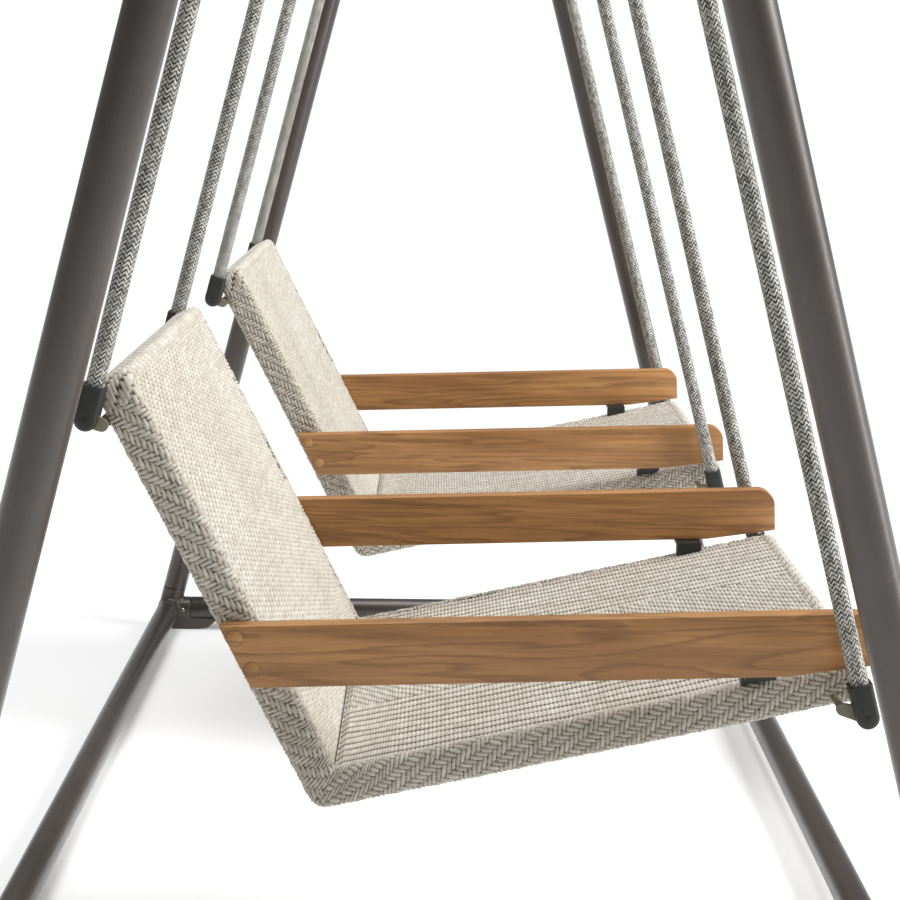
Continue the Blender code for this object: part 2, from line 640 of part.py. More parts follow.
def make_clevis(name, pivot, side, pin):
    """Fork round a lug, with a round end about the pin and a socket for the rope above."""
    top, bottom = rope_line(side, pin)
    up = (top - bottom).normalized()
    tilt = math.atan2(up.y, up.z)
    half_turn = arc(Vector((0, 0)), CLEVIS_HALF_WIDTH, -math.pi, 0, 8)
    outline = half_turn + [Vector((CLEVIS_HALF_WIDTH, CLEVIS_TOP)),
                           Vector((-CLEVIS_HALF_WIDTH, CLEVIS_TOP))]
    bm = prism_shape(outline, -CLEVIS_HALF_DEPTH, CLEVIS_HALF_DEPTH)

    def is_upright_edge(edge):
        first, second = (vert.co for vert in edge.verts)
        return abs(first.x - second.x) < TINY and min(first.z, second.z) < CLEVIS_TOP - TINY

    round_edges(bm, is_upright_edge, CLEVIS_EDGE, 2)
    place = bottom - Vector((0, 0, BEAM_HEIGHT))
    clevis = add_piece(name, bm, "charcoal_fitting", pivot, place)
    clevis.rotation_euler.x = -tilt

    reach = CLEVIS_HALF_WIDTH + OVERCUT
    slot = prism_shape([(-reach, -reach), (reach, -reach), (reach, CLEVIS_SLOT_TOP),
                        (-reach, CLEVIS_SLOT_TOP)], -CLEVIS_SLOT / 2, CLEVIS_SLOT / 2)
    cutter = add_piece(f"{name}_slot", slot, "charcoal_fitting", pivot, place)
    cutter.rotation_euler.x = -tilt
    combine(clevis, cutter, "DIFFERENCE")
    bore = rod_shape(CLEVIS_TOP + OVERCUT, ROPE_BORE, ROPE_SIDES, ROPE_SEAT - GAP)
    combine(clevis, add_piece(f"{name}_bore", bore, "charcoal_fitting", pivot, place, up),
            "DIFFERENCE")
    combine(clevis, pin_hole(f"{name}_hole", pivot, side, pin), "DIFFERENCE")
    weld(clevis)


def make_rope(name, pivot, side, pin):
    """Straight taut rope, from its socket in the hanger to its seat in the clevis."""
    top, bottom = rope_line(side, pin)
    down = (bottom - top).normalized()
    curve = bpy.data.curves.new(name, "CURVE")
    curve.dimensions = "3D"
    curve.bevel_depth = ROPE_RADIUS
    curve.bevel_resolution = ROPE_RESOLUTION
    curve.use_fill_caps = True
    spline = curve.splines.new("POLY")
    spline.points.add(1)
    spline.points[0].co = (*(top + down * ROPE_START), 1)
    spline.points[1].co = (*(bottom - down * ROPE_SEAT), 1)
    curve.materials.append(finish("rope"))
    rope = bpy.data.objects.new(name, curve)
    bpy.context.scene.collection.objects.link(rope)
    rope.parent = pivot
    rope.location = (0, 0, -BEAM_HEIGHT)


def make_hanger(name, pivot, side):
    """Collar that turns on the beam, with a socket for a front rope and one for a back rope."""
    centre = Vector((side * ROPE_TOP_X, 0, 0))
    collar = rod_shape(HANGER_HALF_WIDTH, HANGER_RADIUS, ROUND, -HANGER_HALF_WIDTH)
    hanger = add_piece(name, collar, "charcoal_fitting", pivot, centre, X_AXIS)
    lines = {}
    for end_name, pin in (("front", FRONT_PIN), ("back", BACK_PIN)):
        top, bottom = rope_line(side, pin)
        lines[end_name] = (bottom - top).normalized()
        socket = rod_shape(SOCKET_END, SOCKET_RADIUS, ROPE_SIDES, BEAM_RADIUS - OVERCUT)
        combine(hanger, add_piece(f"{name}_{end_name}_socket", socket, "charcoal_fitting", pivot,
                                  centre, lines[end_name]), "UNION")
    for end_name, down in lines.items():
        bore = rod_shape(SOCKET_END + OVERCUT, ROPE_BORE, ROPE_SIDES, ROPE_START - GAP)
        combine(hanger, add_piece(f"{name}_{end_name}_bore", bore, "charcoal_fitting", pivot,
                                  centre, down), "DIFFERENCE")
    reach = 2 * HANGER_HALF_WIDTH
    journal = rod_shape(reach, HANGER_BORE, ROUND, -reach)
    combine(hanger, add_piece(f"{name}_journal", journal, "charcoal_fitting", pivot, centre,
                              X_AXIS), "DIFFERENCE")
    weld(hanger)


def make_seat(seat_name, offset):
    """One seat with its four ropes, all parented to a pivot on the beam axis."""
    pivot = add_empty(f"{seat_name}_pivot", (offset, 0, BEAM_HEIGHT))
    back = make_slab(f"{seat_name}_back_shell", pivot, BACK_UP, BACK_LENGTH)
    bottom = make_slab(f"{seat_name}_bottom_shell", pivot, SEAT_OUT, SEAT_LENGTH)
    cut_lug_rooms(seat_name, back, bottom, pivot)
    weld(back)
    weld(bottom)
    make_inner_frame(f"{seat_name}_inner_frame", pivot)
    for side_name, side in SIDES.items():
        make_armrest(f"{seat_name}_armrest_{side_name}", pivot, side)
        make_arm_bracket(f"{seat_name}_arm_bracket_{side_name}", pivot, side)
        make_hanger(f"{seat_name}_hanger_{side_name}", pivot, side)
        for end_name, pin in (("front", FRONT_PIN), ("back", BACK_PIN)):
            place = f"{end_name}_{side_name}"
            make_clevis(f"{seat_name}_clevis_{place}", pivot, side, pin)
            make_pin(f"{seat_name}_pin_{place}", pivot, side, pin)
            make_rope(f"{seat_name}_rope_{place}", pivot, side, pin)


clear_scene()
make_stand()
make_seat("left_seat", -SEAT_OFFSET)
make_seat("right_seat", SEAT_OFFSET)
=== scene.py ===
"""Looks of the double garden swing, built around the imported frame. Metres, +Z up, seats face -Y."""
import math

import bmesh
import bpy
import numpy as np
from mathutils import Matrix, Vector


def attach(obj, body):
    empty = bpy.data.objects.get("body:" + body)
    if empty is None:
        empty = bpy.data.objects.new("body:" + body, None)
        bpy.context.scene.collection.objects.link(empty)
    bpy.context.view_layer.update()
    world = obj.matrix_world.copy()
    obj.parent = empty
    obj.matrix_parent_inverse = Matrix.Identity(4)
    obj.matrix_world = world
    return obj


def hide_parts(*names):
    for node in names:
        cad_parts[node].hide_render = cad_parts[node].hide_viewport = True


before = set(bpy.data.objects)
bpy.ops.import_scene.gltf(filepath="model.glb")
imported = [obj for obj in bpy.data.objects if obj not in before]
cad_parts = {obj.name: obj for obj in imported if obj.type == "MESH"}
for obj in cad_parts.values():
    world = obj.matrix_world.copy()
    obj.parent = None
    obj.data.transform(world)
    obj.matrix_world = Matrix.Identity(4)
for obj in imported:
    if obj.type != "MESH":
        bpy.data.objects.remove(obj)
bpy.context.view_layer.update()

# ---- dimensions shared with the CAD ----
BEAM_HEIGHT = 2.137
BEAM_RADIUS = 0.030
BEAM_OVERHANG = 0.036
FRAME_HALF_LENGTH = 1.133
LEG_SLOPE = 0.2656
TUBE_RADIUS = 0.0225
FOOT_HEIGHT = 0.020
BASE_HEIGHT = FOOT_HEIGHT + TUBE_RADIUS
BASE_HALF_DEPTH = LEG_SLOPE * (BEAM_HEIGHT - BASE_HEIGHT)
ELBOW_RADIUS = 0.0245
STUB_LENGTH = 0.045
APEX_HUB_RADIUS = 0.040
APEX_HUB_HALF_WIDTH = 0.030
APEX_STUB_LENGTH = 0.105

SEAT_OFFSET = 0.565
SHELL_CORNER = (0.1315, 0.3606)
BACK_SLOPE = 0.5045
SEAT_SLOPE = 0.2237
BACK_LENGTH = 0.5007
SEAT_LENGTH = 0.5907
SHELL_THICKNESS = 0.0385
SHELL_HALF_WIDTH = 0.3035
SHELL_EDGE = 0.008
BEND_RADIUS = 0.020

ARM_REAR_TOP = (0.229, 0.565)
ARM_REAR_HEIGHT = 0.065
ARM_RISE = 0.0326
ARM_BEND_Y = -0.354
ARM_FRONT_BOTTOM = (-0.445, 0.5312)
ARM_FRONT_TOP_Y = -0.442
ARM_NOSE_RADIUS = 0.022
ARM_THICKNESS = 0.022
ARM_INNER_FACE = SHELL_HALF_WIDTH + 0.0007

ROPE_RADIUS = 0.0093
ROPE_TOP_X = 0.314
BACK_PIN = (0.319, 0.360, 0.778)
FRONT_PIN = (0.345, -0.4335, 0.484)
PINS = {"front": FRONT_PIN, "back": BACK_PIN}
CLEVIS_HALF_WIDTH = 0.012
CLEVIS_HALF_DEPTH = 0.0135
CLEVIS_TOP = 0.035
CLEVIS_SLOT_TOP = 0.0165
CLEVIS_SLOT = 0.0062
CLEVIS_EDGE = 0.005
ROPE_SEAT = 0.019
ROPE_START = 0.055
PIN_RADIUS = 0.004
PIN_PROUD = 0.0003
HANGER_RADIUS = 0.038
HANGER_HALF_WIDTH = 0.022
SOCKET_RADIUS = 0.0135
SOCKET_END = 0.095
FIT_GAP = 0.0003              # room round a tube in its casting, and at its end
BORE_GAP = 0.0006             # room round a rope in its socket, and round the beam in a hanger
SHARP = 0.0001                # easing of a rod that only cuts

SIDES = {"left": -1, "right": 1}
ENDS = {"front": -1, "back": 1}
SEATS = {"left_seat": -SEAT_OFFSET, "right_seat": SEAT_OFFSET}
X_AXIS = Vector((1, 0, 0))

# ---- small parts; a profile is a list of (radius, height) ----
PLUG_PLACES = ((0.2125, 0.5530), (0.195, 0.5200))      # y, z of the armrests' wood plugs
PLUG_PROFILE = [(0, -0.004), (0.0082, -0.004), (0.0082, 0.0001), (0.0078, 0.00035), (0, 0.00045)]
PLUG_LINE_PROFILE = [(0.0081, -0.004), (0.0086, -0.004), (0.0086, 0.00012), (0.0081, 0.00012),
                     (0.0081, -0.004)]
SCREW_PROFILE = [(0, -0.002), (0.0032, -0.002), (0.0032, 0.0005), (0.0026, 0.0011),
                 (0.0014, 0.0012), (0.0012, 0.0004), (0, 0.0004)]
SCREW_HEIGHT = 0.002          # above the clevis pin
BOLT_PROFILE = [(0, -0.003), (0.0038, -0.003), (0.0038, 0.0014), (0.0031, 0.0022),
                (0.0018, 0.0023), (0.0015, 0.0010), (0, 0.0010)]
BOLT_REACH = 0.030            # from the elbow's centre along the cross bar
BOLT_SINK = 0.0012            # its seat lies this far under the tube's surface
CAP_PROFILE = [(0, 0.0), (BEAM_RADIUS, 0.0002), (BEAM_RADIUS, 0.003),
               (BEAM_RADIUS - 0.0006, 0.0044), (BEAM_RADIUS - 0.002, 0.005),
               (BEAM_RADIUS * 0.6, 0.0050), (0, 0.005)]
SHOE_OUTLINE = [(0.021, 0.020), (0.020, 0.003), (0.017, 0.0), (-0.060, 0.0), (-0.080, 0.003),
                (-0.097, 0.018), (-0.096, 0.024), (0.0, 0.028)]     # y outwards, z
SHOE_HALF_WIDTH = 0.0148

# ---- weave ----
CORD = 0.0046                 # width of one flat cord
FLOAT = 0.0184                # a float of cord across a panel
FLOAT_END = 0.0044            # over this length a float dives under its neighbour
PANEL_RELIEF = 0.0024
RIM_RELIEF = 0.0034
RIM_LAP = 0.014               # how far the rim's cords reach over the panels
TOP_ROUND = 0.020             # corners of the back, seen on its face
FRONT_ROUND = 0.0145          # corners of the seat's front end, seen from above
FRONT_PROUD = 0.004           # the weave reaches this far past the CAD's front end
PANEL_LAP = 0.002             # how far the panels reach under the rim
SINK = 0.0012                 # the panels lie this far below the CAD's faces
DIP, DIP_START, DIP_END = 0.004, 0.002, 0.012       # inner panels sink into the bend's corner
BEND_REACH = 0.090            # length over which the weave fans out round the bend
SEAT_SLANT, BACK_SLANT = 0.32, 0.10      # turn of the herringbone bands, radians
BAND_END = 0.027              # the side bands end this far below the top of the back
RIM_STEP = CORD / 4
PANEL_STEP = (CORD / 4, 0.0023)      # along the seat, across it
OUTER_STEP = (CORD / 4, 0.0046)

# ---- rope braid ----
BRAID_COLUMNS = 16            # of slanted yarns, round the rope
BRAID_PITCH = 0.0050          # one dark and one light yarn
BRAID_SLANT = 1.9             # yarns that a column's slant climbs from edge to edge
BRAID_RELIEF = 0.0007
LIGHT_SHARE = 0.54            # part of the tone set by dark or light yarn; chance sets the rest
ROPE_SIDES = 64
ROPE_STEP = BRAID_PITCH / 6

TONES = np.random.default_rng(7).random(8192)

# ---- light ----
WORLD_LIGHT = 0.25
BACKDROP = 1.05               # what the camera sees behind the swing
KEY_POWER = 330
TOP_POWER = 170
STRIP_POWER = 64
FLOOR_GLOW = 0.18
FLOOR_RADIUS = 60
FADE_START, FADE_END = 1.8, 3.6      # the floor turns into the backdrop between these radii

# ---- camera ----
CAMERA_PLACE = Vector((-2.8665, 0.007, 1.115))
CAMERA_PITCH = 0.1821
CAMERA_YAW = -0.0062
CAMERA_ROLL = 0.0125
CAMERA_LENS, CAMERA_SENSOR = 80, 36


def make_camera():
    """Camera of the photograph: it looks along the beam from beyond its left end."""
    forward = Vector((math.cos(CAMERA_PITCH) * math.cos(CAMERA_YAW),
                      math.cos(CAMERA_PITCH) * math.sin(CAMERA_YAW), -math.sin(CAMERA_PITCH)))
    level = Vector((math.sin(CAMERA_YAW), -math.cos(CAMERA_YAW), 0))
    rise = level.cross(forward)
    right = math.cos(CAMERA_ROLL) * level + math.sin(CAMERA_ROLL) * rise
    up = math.cos(CAMERA_ROLL) * rise - math.sin(CAMERA_ROLL) * level
    data = bpy.data.cameras.new("photo_camera")
    data.lens = CAMERA_LENS
    data.sensor_width = CAMERA_SENSOR
    data.clip_end = 200
    camera = bpy.data.objects.new("photo_camera", data)
    bpy.context.scene.collection.objects.link(camera)
    turn = Matrix((right, up, -forward)).transposed().to_4x4()
    camera.matrix_world = Matrix.Translation(CAMERA_PLACE) @ turn
    bpy.context.scene.camera = camera


# ---- materials ----
def linear(red, green, blue):
    """Linear colour of an 8-bit sRGB one."""
    return tuple((c / 255 / 12.92) if c <= 10.3 else ((c / 255 + 0.055) / 1.055) ** 2.4
                 for c in (red, green, blue)) + (1.0,)


class Graph:
    """A material's node tree, with short calls for the nodes used here."""

    def __init__(self, name, roughness=0.5, metallic=0.0, **sockets):
        self.material = bpy.data.materials.new(name)
        self.material.use_nodes = True
        self.tree = self.material.node_tree
        self.shader = self.tree.nodes["Principled BSDF"]
        self.set("Roughness", roughness)
        self.set("Metallic", metallic)
        for key, value in sockets.items():
            self.set(key.replace("_", " "), value)

    def set(self, socket, value):
        if hasattr(value, "is_output"):
            self.tree.links.new(value, self.shader.inputs[socket])
        else:
            self.shader.inputs[socket].default_value = value

    def node(self, kind, **settings):
        node = self.tree.nodes.new(kind)
        for key, value in settings.items():
            setattr(node, key, value)
        return node

    def feed(self, socket, value):
        if hasattr(value, "is_output"):
            self.tree.links.new(value, socket)
        elif value is not None:
            socket.default_value = value

    def attribute(self, name):
        return self.node("ShaderNodeAttribute", attribute_name=name).outputs["Fac"]

    def place(self, scale=(1, 1, 1), turn=(0, 0, 0)):
        mapping = self.node("ShaderNodeMapping")
        mapping.inputs["Scale"].default_value = scale
        mapping.inputs["Rotation"].default_value = turn
        self.tree.links.new(self.node("ShaderNodeTexCoord").outputs["Object"],
                            mapping.inputs["Vector"])
        return mapping.outputs["Vector"]

    def noise(self, scale, where=None, detail=3.0, rough=0.55, distortion=0.0):
        node = self.node("ShaderNodeTexNoise")
        self.feed(node.inputs["Vector"], where if where else self.place())
        for key, value in (("Scale", scale), ("Detail", detail), ("Roughness", rough),
                           ("Distortion", distortion)):
            node.inputs[key].default_value = value
        return node.outputs["Fac"]

    def maths(self, operation, first, second=None, third=None):
        node = self.node("ShaderNodeMath", operation=operation)
        for socket, value in zip(node.inputs, (first, second, third)):
            self.feed(socket, value)
        return node.outputs[0]

    def ramp(self, value, stops):
        """Colours at places along 0 to 1; a stop is (place, colour) or (place, grey)."""
        node = self.node("ShaderNodeValToRGB")
        elements = node.color_ramp.elements
        while len(elements) < len(stops):
            elements.new(0.5)
        for element, (place, colour) in zip(elements, stops):
            element.position = place
            element.color = colour if isinstance(colour, tuple) else (colour,) * 3 + (1,)
        self.feed(node.inputs["Fac"], value)
        return node.outputs["Color"]

    def mix(self, factor, first, second, blend="MIX"):
        """Blend of two colours, which are sockets 6 and 7 of the node; its colour comes out at 2."""
        node = self.node("ShaderNodeMix", data_type="RGBA", blend_type=blend)
        self.feed(node.inputs["Factor"], factor)
        self.feed(node.inputs[6], first)
        self.feed(node.inputs[7], second)
        return node.outputs[2]

    def bump(self, height, distance, strength=1.0, under=None):
        node = self.node("ShaderNodeBump")
        node.inputs["Strength"].default_value = strength
        node.inputs["Distance"].default_value = distance
        self.feed(node.inputs["Height"], height)
        if under:
            self.feed(node.inputs["Normal"], under)
        return node.outputs["Normal"]


def paint_material(name, dark, light, roughness, metallic, grain=900.0, relief=0.00025,
                   coat=0.0):
    """Powder-coated metal: fine orange peel, slight cloudiness, and a clear coat where asked."""
    graph = Graph(name, metallic=metallic, Coat_Weight=coat, Coat_Roughness=0.36)
    clouds = graph.noise(14.0, detail=4.0)
    speck = graph.noise(grain, detail=2.0)
    tone = graph.mix(graph.ramp(clouds, [(0.35, 0.0), (0.68, 1.0)]), dark, light)
    tone = graph.mix(0.35, tone, graph.ramp(speck, [(0.3, 0.25), (0.7, 0.9)]), "MULTIPLY")
    graph.set("Base Color", tone)
    graph.set("Roughness", graph.maths("MULTIPLY_ADD", clouds, 0.16, roughness - 0.08))
    graph.set("Normal", graph.bump(speck, relief, 0.5))
    return graph.material


def cord_material():
    """Flat outdoor cord: heathered yarn, tone changing from cord to cord, and painted shade darkening
    the gaps between cords.
    """
    graph = Graph("woven_cord", roughness=0.85, Sheen_Weight=0.25, Sheen_Roughness=0.5)
    relief, tint = graph.attribute("relief"), graph.attribute("tint")
    yarn = graph.mix(tint, linear(189, 182, 168), linear(210, 206, 195))
    fibre = graph.noise(1300.0, detail=3.0)
    yarn = graph.mix(0.55, yarn, graph.ramp(fibre, [(0.32, 0.50), (0.66, 1.0)]), "MULTIPLY")
    soil = graph.noise(6.0, detail=2.0)
    yarn = graph.mix(0.5, yarn, graph.ramp(soil, [(0.3, linear(232, 226, 216)), (0.7, 1.0)]),
                     "MULTIPLY")
    # Painted shade: the colour darkens where the weave's relief is low, in the gaps and where cords
    # dive.
    painted_gap_shade = graph.ramp(relief, [(0.08, linear(62, 50, 39)), (0.40, linear(156, 142, 122)),
                               (0.72, 1.0)])
    graph.set("Base Color", graph.mix(1.0, yarn, painted_gap_shade, "MULTIPLY"))
    ply = graph.noise(700.0, detail=1.0)
    graph.set("Normal", graph.bump(ply, 0.0005, 0.35, graph.bump(fibre, 0.0003, 0.4)))
    return graph.material


def rope_material():
    """Braided rope in black, grey and white yarns, with painted shade darkening the grooves between
    yarns.
    """
    graph = Graph("heather_rope", roughness=0.9, Sheen_Weight=0.2, Sheen_Roughness=0.5)
    relief, tint = graph.attribute("relief"), graph.attribute("tint")
    yarn = graph.ramp(tint, [(0.04, linear(40, 39, 36)), (0.38, linear(92, 90, 84)),
                             (0.62, linear(186, 184, 176)), (0.96, linear(238, 236, 228))])
    fibre = graph.noise(2100.0, detail=2.0)
    yarn = graph.mix(0.5, yarn, graph.ramp(fibre, [(0.3, 0.45), (0.68, 1.0)]), "MULTIPLY")
    # Painted shade: the colour darkens in the grooves between yarns, where the relief is low.
    painted_gap_shade = graph.ramp(relief, [(0.05, 0.42), (0.60, 0.90), (0.85, 1.0)])
    graph.set("Base Color", graph.mix(1.0, yarn, painted_gap_shade, "MULTIPLY"))
    graph.set("Normal", graph.bump(fibre, 0.0003, 0.5))
    return graph.material


def teak_material(name, tilt=0.0):
    """Oiled teak, its grain along Y, with cathedral figure and fine dark pores."""
    graph = Graph(name, Coat_Weight=0.04, Coat_Roughness=0.5)
    along = graph.place(scale=(7.0, 0.55, 7.0), turn=(tilt, 0, 0))
    swirl = graph.noise(1.7, along, detail=3.0, rough=0.5, distortion=1.1)
    pores = graph.noise(30.0, graph.place(scale=(60.0, 1.5, 60.0)), detail=2.0)
    ragged = graph.maths("ADD", swirl, graph.maths("MULTIPLY", pores, 0.045))
    rings = graph.maths("FRACT", graph.maths("MULTIPLY", ragged, 11.0))
    rings = graph.ramp(rings, [(0.0, 0.0), (0.60, 0.22), (0.90, 1.0), (1.0, 0.0)])
    broad = graph.noise(2.2, graph.place(scale=(5.0, 1.1, 9.0)), detail=4.0, distortion=0.6)
    streak = graph.noise(9.0, graph.place(scale=(22.0, 0.7, 22.0)), detail=5.0, rough=0.62)
    tone = graph.mix(graph.ramp(broad, [(0.30, 0.0), (0.70, 1.0)]),
                     linear(152, 105, 58), linear(192, 141, 84))
    tone = graph.mix(graph.ramp(streak, [(0.42, 0.0), (0.72, 0.75)]), tone,
                     linear(134, 93, 50))
    figure = graph.maths("MULTIPLY", rings, 0.60)
    tone = graph.mix(figure, tone, linear(104, 68, 38))
    tone = graph.mix(graph.ramp(pores, [(0.60, 0.0), (0.74, 0.5)]), tone, linear(92, 60, 36))
    graph.set("Base Color", tone)
    graph.set("Roughness", graph.maths("MULTIPLY_ADD", pores, 0.20, 0.42))
    height = graph.maths("SUBTRACT", streak, graph.maths("MULTIPLY", pores, 0.6))
    graph.set("Normal", graph.bump(height, 0.0005, 0.35))
    return graph.material


def steel_material():
    """Stainless steel, brushed along X."""
    graph = Graph("steel", metallic=1.0)
    brushed = graph.noise(60.0, graph.place(scale=(1.0, 30.0, 30.0)), detail=3.0)
    graph.set("Base Color", graph.ramp(brushed, [(0.3, linear(158, 156, 150)),
                                                 (0.7, linear(206, 204, 198))]))
    graph.set("Roughness", graph.maths("MULTIPLY_ADD", brushed, 0.2, 0.2))
    graph.set("Normal", graph.bump(brushed, 0.0001, 0.3))
    return graph.material


BRONZE = paint_material("bronze_paint", linear(58, 50, 44), linear(69, 61, 54), 0.42, 0.30,
                        coat=0.8)
CHARCOAL = paint_material("charcoal_fitting", linear(42, 42, 41), linear(54, 54, 52), 0.50, 0.15,
                          1500.0, 0.0002)
OLIVE = paint_material("olive_paint", linear(128, 121, 98), linear(142, 135, 112), 0.5, 0.1)
STEEL = steel_material()
CORDS = cord_material()
ROPE = rope_material()
TEAK = teak_material("teak")
PLUG_TEAK = teak_material("teak_plug", 0.9)
DARK_TEAK = paint_material("teak_joint_line", linear(84, 56, 34), linear(104, 72, 45), 0.6, 0.0)
# Darker copy of the steel for the clevis pins: painted shade, standing in for the shadow they sit in.
SHADED_STEEL = paint_material("shaded_steel", linear(50, 50, 49), linear(66, 66, 64), 0.4, 0.6)
MATERIALS = {"bronze_paint": BRONZE, "charcoal_fitting": CHARCOAL, "olive_paint": OLIVE,
             "steel": STEEL, "woven_cord": CORDS, "rope": ROPE, "teak": TEAK}


# ---- mesh helpers ----
def add_object(name, mesh, slot, body, *nodes, material=None):
    """Link a mesh as a piece that rides on a body and stands for CAD nodes."""
    mesh.materials.clear()
    mesh.materials.append(material or MATERIALS[slot])
    piece = bpy.data.objects.new(name, mesh)
    bpy.context.scene.collection.objects.link(piece)
    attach(piece, body)
    if nodes:
        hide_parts(*nodes)
    return piece


def grid_mesh(name, points, relief, tint, closed_rows=False, closed_columns=False, capped=False):
    """Smooth quad mesh through a grid of points, with the weave's numbers on its vertices."""
    rows, columns = points.shape[:2]
    index = np.arange(rows * columns).reshape(rows, columns)
    if closed_rows:
        index = np.vstack([index, index[:1]])
    if closed_columns:
        index = np.hstack([index, index[:, :1]])
    quads = np.stack([index[:-1, :-1], index[:-1, 1:], index[1:, 1:], index[1:, :-1]], -1)
    loops, sizes = quads.reshape(-1), np.full(quads.size // 4, 4)
    if capped:
        ends = [index[0, :-1][::-1], index[-1, :-1]]
        loops = np.concatenate([loops] + ends)
        sizes = np.concatenate([sizes, [columns, columns]])
    starts = np.concatenate([[0], np.cumsum(sizes)[:-1]])
    mesh = bpy.data.meshes.new(name)
    mesh.vertices.add(rows * columns)
    mesh.vertices.foreach_set("co", points.reshape(-1).astype(np.float32))
    mesh.loops.add(len(loops))
    mesh.loops.foreach_set("vertex_index", loops.astype(np.int32))
    mesh.polygons.add(len(sizes))
    mesh.polygons.foreach_set("loop_start", starts.astype(np.int32))
    mesh.update(calc_edges=True)
    mesh.validate()
    mesh.shade_smooth()
    for key, values in (("relief", relief), ("tint", tint)):
        layer = mesh.attributes.new(key, "FLOAT", "POINT")
        layer.data.foreach_set("value", values.reshape(-1).astype(np.float32))
    return mesh


def turned(profile, sides=64):
    """Solid of revolution about +Z from (radius, height) points."""
    bm = bmesh.new()
    verts = [bm.verts.new((radius, 0, height)) for radius, height in profile]
    edges = [bm.edges.new(pair) for pair in zip(verts, verts[1:])]
    bmesh.ops.spin(bm, geom=verts + edges, axis=(0, 0, 1), cent=(0, 0, 0), steps=sides,
                   angle=math.tau, use_merge=False)
    bmesh.ops.remove_doubles(bm, verts=bm.verts, dist=1e-6)
    bmesh.ops.recalc_face_normals(bm, faces=bm.faces)
    return bm


def rod(length, radius, start=0.0, sides=64, edge=0.0008):
    """Round bar along +Z with eased ends."""
    return turned([(0, start), (radius - edge, start), (radius - 0.3 * edge, start + 0.3 * edge),
                   (radius, start + edge), (radius, length - edge),
                   (radius - 0.3 * edge, length - 0.3 * edge), (radius - edge, length),
                   (0, length)], sides)


def prism(outline, low, high):
    """Outline of (y, z) points, extruded along X."""
    bm = bmesh.new()
    face = bm.faces.new([bm.verts.new((low, y, z)) for y, z in outline])
    walls = bmesh.ops.extrude_face_region(bm, geom=[face])["geom"]
    verts = [item for item in walls if isinstance(item, bmesh.types.BMVert)]
    bmesh.ops.translate(bm, verts=verts, vec=(high - low, 0, 0))
    bmesh.ops.recalc_face_normals(bm, faces=bm.faces)
    return bm


def arc(centre, radius, start, stop, steps):
    """Points of an arc in a plane; angles in radians."""
    turns = [start + (stop - start) * i / steps for i in range(steps + 1)]
    return [Vector((centre[0] + radius * math.cos(t), centre[1] + radius * math.sin(t)))
            for t in turns]


def aim(place, direction):
    """Transform that takes +Z to a direction and the origin to a place."""
    turn = Vector(direction).to_track_quat("Z", "Y").to_matrix().to_4x4()
    return Matrix.Translation(Vector(place)) @ turn


def to_mesh(name, parts):
    """One mesh from (bmesh, transform) pairs."""
    whole = bmesh.new()
    for bm, transform in parts:
        bm.transform(transform)
        loose = bpy.data.meshes.new("loose")
        bm.to_mesh(loose)
        bm.free()
        whole.from_mesh(loose)
        bpy.data.meshes.remove(loose)
    mesh = bpy.data.meshes.new(name)
    whole.to_mesh(mesh)
    whole.free()
    mesh.shade_smooth()
    mesh.set_sharp_from_angle(angle=math.radians(40))
    return mesh


def shaped(name, parts, cuts=(), voxel=None, smoothing=0, bevel=0.0):
    """Fuse parts by remeshing them together, cut others away, ease the edges."""
    scene = bpy.context.scene
    source = bpy.data.objects.new("source", to_mesh("source", parts))
    scene.collection.objects.link(source)
    if voxel:
        remesh = source.modifiers.new("fuse", "REMESH")
        remesh.mode = "VOXEL"
        remesh.voxel_size = voxel
        remesh.use_smooth_shade = True
    if smoothing:
        smooth = source.modifiers.new("smooth", "SMOOTH")
        smooth.factor = 0.5
        smooth.iterations = smoothing
    tools = []
    for bm, transform in cuts:
        tool = bpy.data.objects.new("tool", to_mesh("tool", [(bm, transform)]))
        scene.collection.objects.link(tool)
        tools.append(tool)
        cut = source.modifiers.new("cut", "BOOLEAN")
        cut.operation = "DIFFERENCE"
        cut.solver = "EXACT"
        cut.object = tool
    if bevel:
        ease = source.modifiers.new("ease", "BEVEL")
        ease.width = bevel
        ease.segments = 3
        ease.limit_method = "ANGLE"
        ease.angle_limit = math.radians(35)
    graph = bpy.context.evaluated_depsgraph_get()
    mesh = bpy.data.meshes.new_from_object(source.evaluated_get(graph))
    mesh.name = name
    mesh.shade_smooth()
    mesh.set_sharp_from_angle(angle=math.radians(50))
    for helper in [source] + tools:
        data = helper.data
        bpy.data.objects.remove(helper, do_unlink=True)
        bpy.data.meshes.remove(data)
    return mesh


# ---- ropes ----
def strand(fraction):
    """Height of a round cord at a fraction of its width."""
    return np.sqrt(np.clip(1 - (2 * fraction - 1) ** 2, 0, 1))


def rope_line(offset, side, end_name):
    """Where a rope's axis meets the beam's, and the middle of its clevis pin."""
    x, y, z = PINS[end_name]
    return Vector((offset + side * ROPE_TOP_X, 0, BEAM_HEIGHT)), Vector((offset + side * x, y, z))


def braid(angle, along):
    """Relief and tone of a braid: columns of slanted yarns that lean left and right in turn."""
    place = angle / math.tau * BRAID_COLUMNS
    column = np.floor(place)
    across = place - column
    lean = np.where(column % 2 == 0, 1.0, -1.0)
    phase = 2 * along / BRAID_PITCH + lean * (across - 0.5) * BRAID_SLANT
    yarn = np.floor(phase)
    dip = 0.70 + 0.30 * np.sin(math.pi * across) ** 0.5
    relief = strand(phase - yarn) * dip
    cell = yarn.astype(np.int64) * 31 + column.astype(np.int64) * 7
    tint = LIGHT_SHARE * (yarn % 2) + (1 - LIGHT_SHARE) * TONES[cell % len(TONES)]
    return relief, tint


